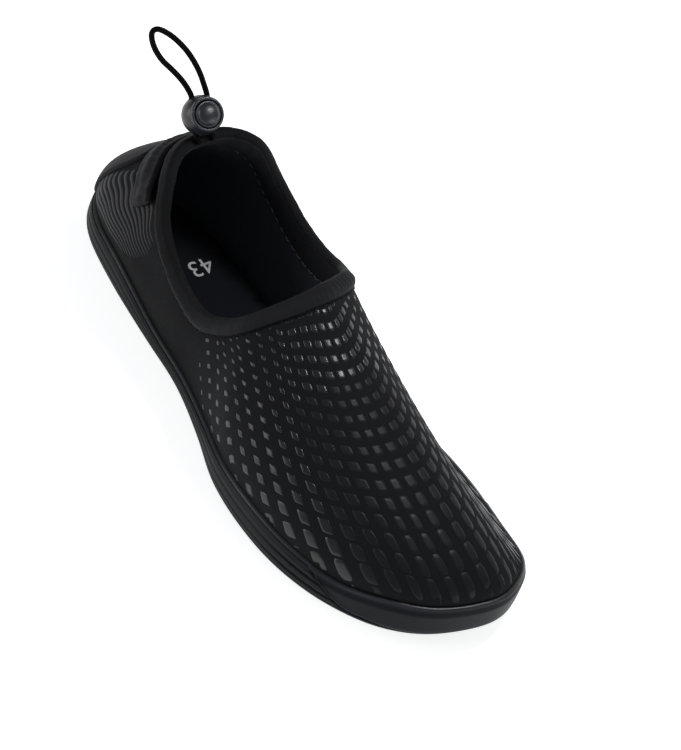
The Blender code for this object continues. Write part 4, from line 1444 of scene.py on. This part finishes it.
@dataclass(frozen=True)
class CollarBinding:
    """The soft rolled binding over the collar edge, with its seams."""

    columns: int = 480
    outer_width: float = 6.6 * MM
    inner_width: float = 13 * MM
    thickness: float = 1.3 * MM
    puff: float = 0.9 * MM
    pucker_depth: float = 0.16 * MM
    crest_station: int = 19
    thread: float = 0.24 * MM
    zigzag: float = 0.55 * MM

    def pucker(self, turn: np.ndarray) -> np.ndarray:
        """Give the small uneven waves of the turned cloth."""
        return (0.5 * np.sin(11 * turn + 1.3 * np.sin(2.1 * turn))
                + 0.3 * np.sin(23 * turn + 2 * np.sin(1.7 * turn)))

    def stations(self) -> list[tuple[float, float, float]]:
        """List the section from the outer edge over the roll to the inner edge and back underneath.

        Returns:
            Each station's distance below the collar edge, its offset outwards and its rise.
        """
        gap, thick, wall = SHOE.gap, self.thickness, SHOE.wall
        outer = [(self.outer_width * (1 - t),
                  gap + thick * (0.12 + 0.88 * math.sin(math.pi * min(1, t * 1.25) / 2))
                  + self.puff * math.sin(math.pi * t), 0.0) for t in np.linspace(0, 0.94, 12)]
        reach = wall / 2 + gap + thick
        roll = [(0.0, -wall / 2 + reach * math.cos(angle), reach * 0.9 * math.sin(angle))
                for angle in np.linspace(0, math.pi, 9)]
        inner = [(self.inner_width * t, -wall - gap - thick * (1 - 0.4 * t**3)
                  - 0.4 * self.puff * math.sin(math.pi * t), 0.0) for t in np.linspace(0.06, 1, 9)]
        inside, outside = -wall - gap * 0.4, gap * 0.4
        back = [(self.inner_width, inside, 0.0), (self.inner_width / 2, inside, 0.0), (0.0, inside, gap),
                (0.0, outside, gap), (self.outer_width / 2, outside, 0.0), (self.outer_width, outside, 0.0)]
        return outer + roll + inner + back + outer[:1]

    def place(self, turn: np.ndarray, station: np.ndarray) -> np.ndarray:
        """Give the binding's surface at a station of its section.

        Args:
            turn: Places round the shoe.
            station: Stations, as whole numbers.

        Returns:
            The points.
        """
        table = np.array(self.stations())
        below, offset, rise = table[np.round(station).astype(int)].T
        share = np.ones(len(turn))
        for distance in np.unique(below):
            mine = below == distance
            share[mine] = SHOE.below_collar(turn[mine], distance)
        middle = offset + SHOE.wall / 2
        seen = np.clip((np.abs(middle) - SHOE.wall / 2 - SHOE.gap) / self.thickness, 0, 1)
        swell = self.pucker_depth * self.pucker(turn) * seen * np.sign(middle)
        return SHOE.face(turn, share, offset + swell, rise)

    def build(self) -> list[bpy.types.Object]:
        """Build and dress the binding, its seam stitches and its inner face, which is a lighter copy of its
        cloth: painted light inside the collar.

        Returns:
            The objects.
        """
        mesh = bmesh.new()
        rows = len(self.stations()) - 1
        crest = self.crest_station
        shaped_grid(mesh, self.columns, crest, lambda u, v: self.place(u * SHOE.turns, v * crest))
        # Past the crest the binding takes its lighter inside colour: painted light.
        shaped_grid(mesh, self.columns, rows - crest,
                    lambda u, v: self.place(u * SHOE.turns, crest + v * (rows - crest)), material=1)
        band = finish_piece("binding_roll", mesh, [BINDING.make(), LIT_BINDING_INSIDE.make()],
                            ["collar_binding"], sharp=70)
        seams = (("binding_seam", THREAD, self.outer_width + 0.25 * MM, 0.35 * MM, 2.1 * MM),
                 ("facing_seam", FACING, self.inner_width + 0.5 * MM, -SHOE.wall - 0.5 * MM, 2.4 * MM))
        return [band] + [self.build_seam(*seam) for seam in seams]

    def build_seam(self, name: str, finish: Finish, below: float, offset: float,
                   pitch: float) -> bpy.types.Object:
        """Sew a zigzag of short stitches along the binding.

        Args:
            name: The seam's name.
            finish: Its finish.
            below: Its distance below the collar edge.
            offset: The distance from the upper's outer face to the seam's foot, inwards if below 0.
            pitch: The length of a stitch.

        Returns:
            The object.
        """
        turns = np.linspace(0, SHOE.turns, 2600, endpoint=False)
        line = SHOE.face(turns, SHOE.below_collar(turns, below), offset)
        length = np.concatenate([[0], np.cumsum(np.linalg.norm(np.diff(line, axis=0), axis=1))])
        count = int(length[-1] / pitch)
        marks = np.interp(np.arange(count) * pitch, length, turns)
        zigzag = np.where(np.arange(count) % 2 == 0, self.zigzag, -self.zigzag)
        proud = offset + math.copysign(self.thread / 2, offset)
        knots = SHOE.face(marks, SHOE.below_collar(marks, below + zigzag), proud)
        mesh = bmesh.new()
        for start, end in zip(knots, knots[1:]):
            way = Vector(end - start)
            turn = way.to_track_quat("Z", "Y").to_matrix().to_4x4()
            middle = Matrix.Translation(Vector((start + end) / 2))
            bmesh.ops.create_cone(mesh, cap_ends=True, segments=6, radius1=self.thread,
                                  radius2=self.thread, depth=way.length * 0.86, matrix=middle @ turn)
        return finish_piece(name, mesh, [finish.make()], sharp=40)


@dataclass(frozen=True)
class HeelTrim:
    """The bonded heel patch and the tunnel of the draw cord above it."""

    patch_thickness: float = 1.4 * MM
    patch_foot: float = 0.06
    patch_foot_reach: float = 1.45
    patch_top_reach: float = 0.5
    tunnel_thickness: float = 1.6 * MM
    tunnel_top: float = 9.6 * MM
    tunnel_bottom: float = 24 * MM
    tunnel_reach: float = 2.35
    flare: float = 2.4 * MM
    flare_start: float = 1.5
    seam: float = 0.9 * MM
    lift: float = 0.15 * MM
    gather: float = 0.28 * MM
    cord_swell: float = 0.9 * MM

    def rim(self, first: np.ndarray, second: np.ndarray, width: tuple[float, float]) -> np.ndarray:
        """Give 0 at the border of a panel, rising roundly to 1 inside it.

        Args:
            first: Places across the panel.
            second: Places up it.
            width: The border's width across and up, as shares.

        Returns:
            The rise, 0 to 1.
        """
        across = np.clip(np.minimum(first, 1 - first) / width[0], 0, 1)
        up = np.clip(np.minimum(second, 1 - second) / width[1], 0, 1)
        return np.sqrt(1 - (1 - across) ** 2) * np.sqrt(1 - (1 - up) ** 2)

    def patch(self, across: np.ndarray, up: np.ndarray) -> np.ndarray:
        """Give the heel patch's face.

        Args:
            across: Places across the patch.
            up: Places up it.

        Returns:
            The points.
        """
        reach = self.patch_top_reach + (self.patch_foot_reach - self.patch_top_reach) * np.sqrt(1 - up**3.2)
        turn = (across * 2 - 1) * reach
        top = SHOE.below_collar(turn, self.tunnel_bottom + self.seam)
        rise = self.lift + self.patch_thickness * self.rim(across, up, (0.035, 0.05))
        return SHOE.face(turn, self.patch_foot + (top - self.patch_foot) * up, rise)

    def tunnel(self, across: np.ndarray, up: np.ndarray) -> np.ndarray:
        """Give the tunnel's face, gathered and standing away at its mouths.

        Args:
            across: Places along the tunnel.
            up: Places up it.

        Returns:
            The points.
        """
        turn = (across * 2 - 1) * self.tunnel_reach
        below = self.tunnel_bottom + (self.tunnel_top - self.tunnel_bottom) * up
        mouth = smooth_step((np.abs(turn) - self.flare_start) / (self.tunnel_reach - self.flare_start))
        fold = np.sin(15 * turn + 3 * up + 1.5 * np.sin(5 * turn)) + 0.6 * np.sin(29 * turn - 4 * up)
        gather = self.gather * fold * (0.3 + 1.2 * mouth) * np.sin(math.pi * np.clip(up, 0.02, 0.98)) ** 0.6
        cord = self.cord_swell * soft_peak(up, 0.5, 0.22) * (1 - 0.5 * mouth)
        rise = (self.lift + self.tunnel_thickness * self.rim(across, up, (0.008, 0.10))
                + self.flare * mouth * up + gather + cord)
        return SHOE.face(turn, SHOE.below_collar(turn, below), rise)

    def build(self) -> list[bpy.types.Object]:
        """Build and dress the patch and the tunnel.

        Returns:
            The objects.
        """
        pieces = []
        for name, place, columns, rows, thick, node in (
                ("heel_patch", self.patch, 90, 48, 0.4 * MM, "heel_counter"),
                ("draw_tunnel", self.tunnel, 260, 22, 0.7 * MM, "cord_tunnel")):
            mesh = bmesh.new()
            shaped_grid(mesh, columns, rows, place)
            bmesh.ops.recalc_face_normals(mesh, faces=mesh.faces)
            middle = min(mesh.faces, key=lambda face: abs(face.calc_center_median().x))
            if middle.normal.y < 0:
                bmesh.ops.reverse_faces(mesh, faces=mesh.faces)
            bmesh.ops.solidify(mesh, geom=mesh.faces[:], thickness=thick)
            pieces.append(finish_piece(name, mesh, [PATCH.make()], [node], sharp=60))
        return pieces


def arc(middle: Sequence[float], radii: Sequence[float], first: float, last: float,
        count: int) -> list[tuple[float, float]]:
    """List points of an arc, each a radius and a height, from a first angle to a last one."""
    return [(middle[0] + radii[0] * math.cos(angle), middle[1] + radii[1] * math.sin(angle))
            for angle in np.linspace(first, last, count)]


@dataclass(frozen=True)
class CordLock:
    """The push-button cord lock: ball barrel, rimmed socket, domed button, and the cord through it."""

    ball: float = 9 * MM
    rim: float = 7.7 * MM
    rim_foot: float = 5 * MM
    rim_height: float = 7.4 * MM
    rounding: float = 0.6 * MM
    mould_step: tuple[float, float] = (0.25 * MM, 0.2 * MM)
    button: float = 5.9 * MM
    button_edge: float = 0.5 * MM
    dome_inset: float = 0.8 * MM
    button_proud: float = 2.8 * MM
    button_travel: float = 2.5 * MM
    button_rest: float = 0.6 * MM
    button_length: float = 8 * MM
    clearance: float = 0.35 * MM
    cord: float = 2.6 * MM
    cord_spread: float = 7.4 * MM
    cord_step: float = 0.9 * MM
    cord_sides: int = 20
    turn: float = math.radians(-13)
    lift: float = math.radians(50)
    back: float = math.radians(28)
    aside: float = 1.0 * MM
    stand_off: float = 1.2 * MM
    lead_turn: float = 0.25
    lead_forward: float = 2.4 * MM

    def crest(self, turn: float) -> Vector:
        """Give the top of the binding over the middle of the upper's wall."""
        rise = SHOE.gap + CollarBinding().thickness
        return Vector(SHOE.face(np.array([turn]), np.ones(1), -SHOE.wall / 2, rise)[0])

    def frame(self) -> Matrix:
        """Give the lock's place and its axes: sideways, along the cord and out of the button.

        Returns:
            The transform from the lock's own axes to the shoe's.
        """
        button, side = heading(self.turn, self.lift)
        reach = self.ball + self.stand_off
        stand = Vector((self.aside, math.sin(self.back) * reach, math.cos(self.back) * reach))
        axes = Matrix((side, button.cross(side), button)).transposed().to_4x4()
        return Matrix.Translation(self.crest(0.0) + stand) @ axes

    def spun(self, profile: Sequence[tuple[float, float]], sides: int = 64) -> bmesh.types.BMesh:
        """Spin a profile of radius and height into a closed body.

        Args:
            profile: Its points, from axis to axis.
            sides: Faces round it.

        Returns:
            The body as a mesh.
        """
        mesh = bmesh.new()
        verts = [mesh.verts.new((radius, 0, height)) for radius, height in profile]
        edges = [mesh.edges.new(pair) for pair in zip(verts, verts[1:])]
        bmesh.ops.spin(mesh, geom=verts + edges, cent=(0, 0, 0), axis=(0, 0, 1), angle=2 * math.pi,
                       steps=sides, use_merge=True)
        bmesh.ops.remove_doubles(mesh, verts=mesh.verts, dist=0.001 * MM)
        return mesh

    def build_barrel(self, plastic: bpy.types.Material) -> bpy.types.Object:
        """Build the barrel with its bead rim, mould line and cord holes.

        Args:
            plastic: Its material.

        Returns:
            The object.
        """
        floor = self.rim_height - self.button_length - self.button_travel - self.button_rest
        socket, bead = self.button + self.clearance, (self.rounding, self.rounding)
        shoulder = math.asin(self.rim_foot / self.ball)
        ball = arc((0, 0), (self.ball, self.ball), -math.pi / 2, shoulder, 28)
        outer = arc((self.rim - self.rounding, self.rim_height - self.rounding), bead, 0, math.pi / 2, 6)
        inner = arc((socket + self.rounding, self.rim_height - self.rounding), bead,
                    math.pi / 2, math.pi, 6)
        step = [(self.rim + self.mould_step[0], self.rim_foot + self.mould_step[1]),
                (self.rim, self.rim_foot + self.rounding)]
        profile = [(0, ball[0][1])] + ball[1:] + step + outer + inner + [(socket, floor), (0, floor)]
        mesh = self.spun(profile)
        bmesh.ops.transform(mesh, matrix=self.frame(), verts=mesh.verts)
        piece = finish_piece("lock_barrel", mesh, [plastic], ["toggle_body"])
        cutters = bmesh.new()
        depth = LOOP_ROUTE[0][1] * MM - SHOE.gap
        radius = self.cord / 2 + 2 * SHOE.gap
        for side in (-1, 1):
            for end in (-1, 1):
                place = Matrix.Translation((side * self.cord_spread / 2, end * (depth + self.cord), 0))
                across = place @ Matrix.Rotation(math.pi / 2, 4, "X")
                bmesh.ops.create_cone(cutters, cap_ends=True, segments=32, radius1=radius, radius2=radius,
                                      depth=2 * self.cord, matrix=across)
        bmesh.ops.transform(cutters, matrix=self.frame(), verts=cutters.verts)
        cut_away(piece, cutters)
        return piece

    def build_button(self, plastic: bpy.types.Material) -> bpy.types.Object:
        """Build the domed button with the fine ring round its dome.

        Args:
            plastic: Its material.

        Returns:
            The object.
        """
        foot = self.rim_height - self.button_length
        edge = self.button_edge
        step = arc((self.button - edge, self.rim_height), (edge, edge), 0, math.pi / 2, 5)
        dome = arc((0, self.rim_height + edge), (self.button - self.dome_inset, self.button_proud - edge),
                   0, math.pi / 2, 14)
        mesh = self.spun([(0, foot), (self.button, foot)] + step + dome[:-1] + [(0, dome[-1][1])])
        bmesh.ops.transform(mesh, matrix=self.frame(), verts=mesh.verts)
        return finish_piece("lock_button", mesh, [plastic], ["toggle_button"], "button")

    def build_cord(self, name: str, points: Sequence[Vector], finish: bpy.types.Material,
                   nodes: Sequence[str]) -> tuple[bpy.types.Object, list[Vector]]:
        """Build a stretch of cord as a braided tube along its route.

        Args:
            name: The cord's name.
            points: Points of its route.
            finish: Its material.
            nodes: The CAD nodes that it stands for.

        Returns:
            The object and the points of its centreline.
        """
        route = smooth_route(points, self.cord_step)
        last = len(route) - 1
        normal = Vector((0, 0, 1))
        rings = []
        for place, point in enumerate(route):
            ahead = route[min(place + 1, last)] - route[max(place - 1, 0)]
            ahead.normalize()
            normal = (normal - ahead * normal.dot(ahead)).normalized()
            rings.append((point, normal.copy(), ahead.cross(normal)))

        def place_at(round_way: np.ndarray, ahead: np.ndarray) -> np.ndarray:
            """Give the tube's surface.

            Args:
                round_way: Places round the tube.
                ahead: Places along it.

            Returns:
                The points.
            """
            found = []
            for angle, step in zip(round_way * 2 * math.pi, np.round(ahead * last).astype(int)):
                centre, first, second = rings[step]
                found.append(centre + (first * math.cos(angle) + second * math.sin(angle)) * self.cord / 2)
            return np.array(found)
        mesh = bmesh.new()
        strands = self.cord_step * last / (0.6 * self.cord)
        shaped_grid(mesh, self.cord_sides, last, place_at,
                    lambda u, v: np.stack([u * 4, v * strands], axis=1))
        bmesh.ops.remove_doubles(mesh, verts=mesh.verts, dist=0.002 * MM)
        bmesh.ops.holes_fill(mesh, edges=[edge for edge in mesh.edges if edge.is_boundary], sides=0)
        return finish_piece(name, mesh, [finish], nodes, sharp=60), route

    def build(self) -> list[bpy.types.Object]:
        """Build and dress the lock and the cord.

        Returns:
            The objects.
        """
        plastic, braid = PLASTIC.make(), CORD.make()
        frame = self.frame()
        barrel, button = self.build_barrel(plastic), self.build_button(plastic)
        loop_points = [frame @ Vector((side * MM, rise * MM, 0)) for side, rise in LOOP_ROUTE]
        loop, route = self.build_cord("draw_cord_loop", loop_points, braid, ["cord_loop"])
        leads = []
        for name, side in (("cord_lead_lateral", -1), ("cord_lead_medial", 1)):
            start, bend = (frame @ Vector((side * self.cord_spread / 2, -LOOP_ROUTE[row][1] * MM, 0))
                           for row in (0, 1))
            foot = self.crest(-side * self.lead_turn) + Vector((0, -self.lead_forward, SHOE.gap))
            lead, _ = self.build_cord(name.replace("cord", "draw"), [start, bend, foot], braid, [name])
            leads.append(lead)
        return [barrel, button, loop] + leads


def smooth_route(points: Sequence[Vector], step: float) -> list[Vector]:
    """Read points a step apart from a smooth curve through a route's own points.

    Args:
        points: The route's points.
        step: The distance between points.

    Returns:
        The points of the curve.
    """
    points = [Vector(point) for point in points]
    ends = [2 * points[0] - points[1]] + points + [2 * points[-1] - points[-2]]
    dense = []
    for before, start, end, after in zip(ends, ends[1:], ends[2:], ends[3:]):
        for part in np.linspace(0, 1, 24, endpoint=False):
            bow = 2 * before - 5 * start + 4 * end - after
            twist = 3 * start - before - 3 * end + after
            dense.append((2 * start + (end - before) * part + bow * part**2 + twist * part**3) / 2)
    dense.append(points[-1])
    along = np.concatenate([[0], np.cumsum([(b - a).length for a, b in zip(dense, dense[1:])])])
    marks = np.linspace(0, along[-1], max(3, round(along[-1] / step)) + 1)
    places = [np.interp(marks, along, [point[axis] for point in dense]) for axis in range(3)]
    return [Vector(place) for place in zip(*places)]


@dataclass(frozen=True)
class SoftBox:
    """One soft studio light."""

    name: str
    place: tuple[float, float, float]
    size: tuple[float, float]
    power: float

    def build(self, aim: Vector) -> None:
        """Hang the light and aim it.

        Args:
            aim: The point that it faces.
        """
        light = bpy.data.lights.new(self.name, "AREA")
        light.shape = "RECTANGLE"
        light.size, light.size_y = self.size
        light.energy = self.power
        lamp = add_object(self.name, light)
        lamp.location = self.place
        lamp.rotation_euler = (aim - Vector(self.place)).to_track_quat("-Z", "Y").to_euler()


@dataclass(frozen=True)
class Studio:
    """The pale floor, the soft lights and the camera at the photograph's angle."""

    azimuth: float = math.radians(-51.89)
    elevation: float = math.radians(47.72)
    roll: float = math.radians(21.34)
    distance: float = 1.3411
    aim: tuple[float, float, float] = (0.0198, -0.01155, 0.030)
    lens: float = 145.94
    sensor: float = 36
    glow: float = 0.74
    sky: tuple[float, float, float, float] = (0.92, 0.95, 1.0, 1)
    sky_strength: float = 0.26
    lights: tuple[SoftBox, ...] = (
        SoftBox("left_box", (-1.38, 0.78, 0.42), (1.1, 0.8), 11.5),
        SoftBox("right_box", (1.5, 0.15, 0.30), (1.0, 0.6), 3.2),
        SoftBox("front_box", (0.45, -1.45, 0.30), (1.0, 0.5), 6.0),
        SoftBox("throat_box", (0.135, -0.060, 0.45), (0.11, 0.06), 1.0),
    )

    def build_floor(self) -> None:
        """Lay the floor."""
        mesh = bmesh.new()
        bmesh.ops.create_grid(mesh, x_segments=1, y_segments=1, size=30)
        data = to_data("floor", mesh)
        shader = Shader("pale_floor")
        shader.set(Roughness=0.9, Specular_IOR_Level=0.1)
        shader.set(Emission_Color=(1, 1, 1, 1), Emission_Strength=self.glow)
        shader.tint(shader.noise(shader.object_place(), 3, 2), (0.86, 0.86, 0.86), (0.88, 0.88, 0.88))
        data.materials.append(shader.material)
        floor = add_object("floor", data)

    def build_camera(self) -> None:
        """Set the camera."""
        back, right = heading(self.azimuth, self.elevation)
        up = back.cross(right)
        side = right * math.cos(self.roll) + up * math.sin(self.roll)
        top = up * math.cos(self.roll) - right * math.sin(self.roll)
        data = bpy.data.cameras.new("camera")
        data.lens, data.sensor_width = self.lens, self.sensor
        data.clip_start, data.clip_end = 0.05, 200
        camera = add_object("camera", data)
        place = Matrix((side, top, back)).transposed().to_4x4()
        camera.matrix_world = Matrix.Translation(Vector(self.aim) + back * self.distance) @ place
        bpy.context.scene.camera = camera

    def build(self) -> None:
        """Build the studio."""
        self.build_floor()
        self.build_camera()
        for light in self.lights:
            light.build(Vector((0, 0, 0.03)))
        world = bpy.data.worlds.new("studio")
        world.use_nodes = True
        background = world.node_tree.nodes["Background"]
        background.inputs["Color"].default_value = self.sky
        background.inputs["Strength"].default_value = self.sky_strength
        bpy.context.scene.world = world
        bpy.context.scene.view_settings.view_transform = "Standard"


def main() -> None:
    """Build the shoe in its order and report each piece."""
    logging.basicConfig(level=logging.INFO, format="%(name)s %(message)s")
    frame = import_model()
    for part in (Studio(), CordLock(), CupSole(), Footbed(), Upper(), CollarBinding(), HeelTrim(),
                 QuarterRibs(), FilmPrint()):
        part.build()


if __name__ == "__main__":
    main()
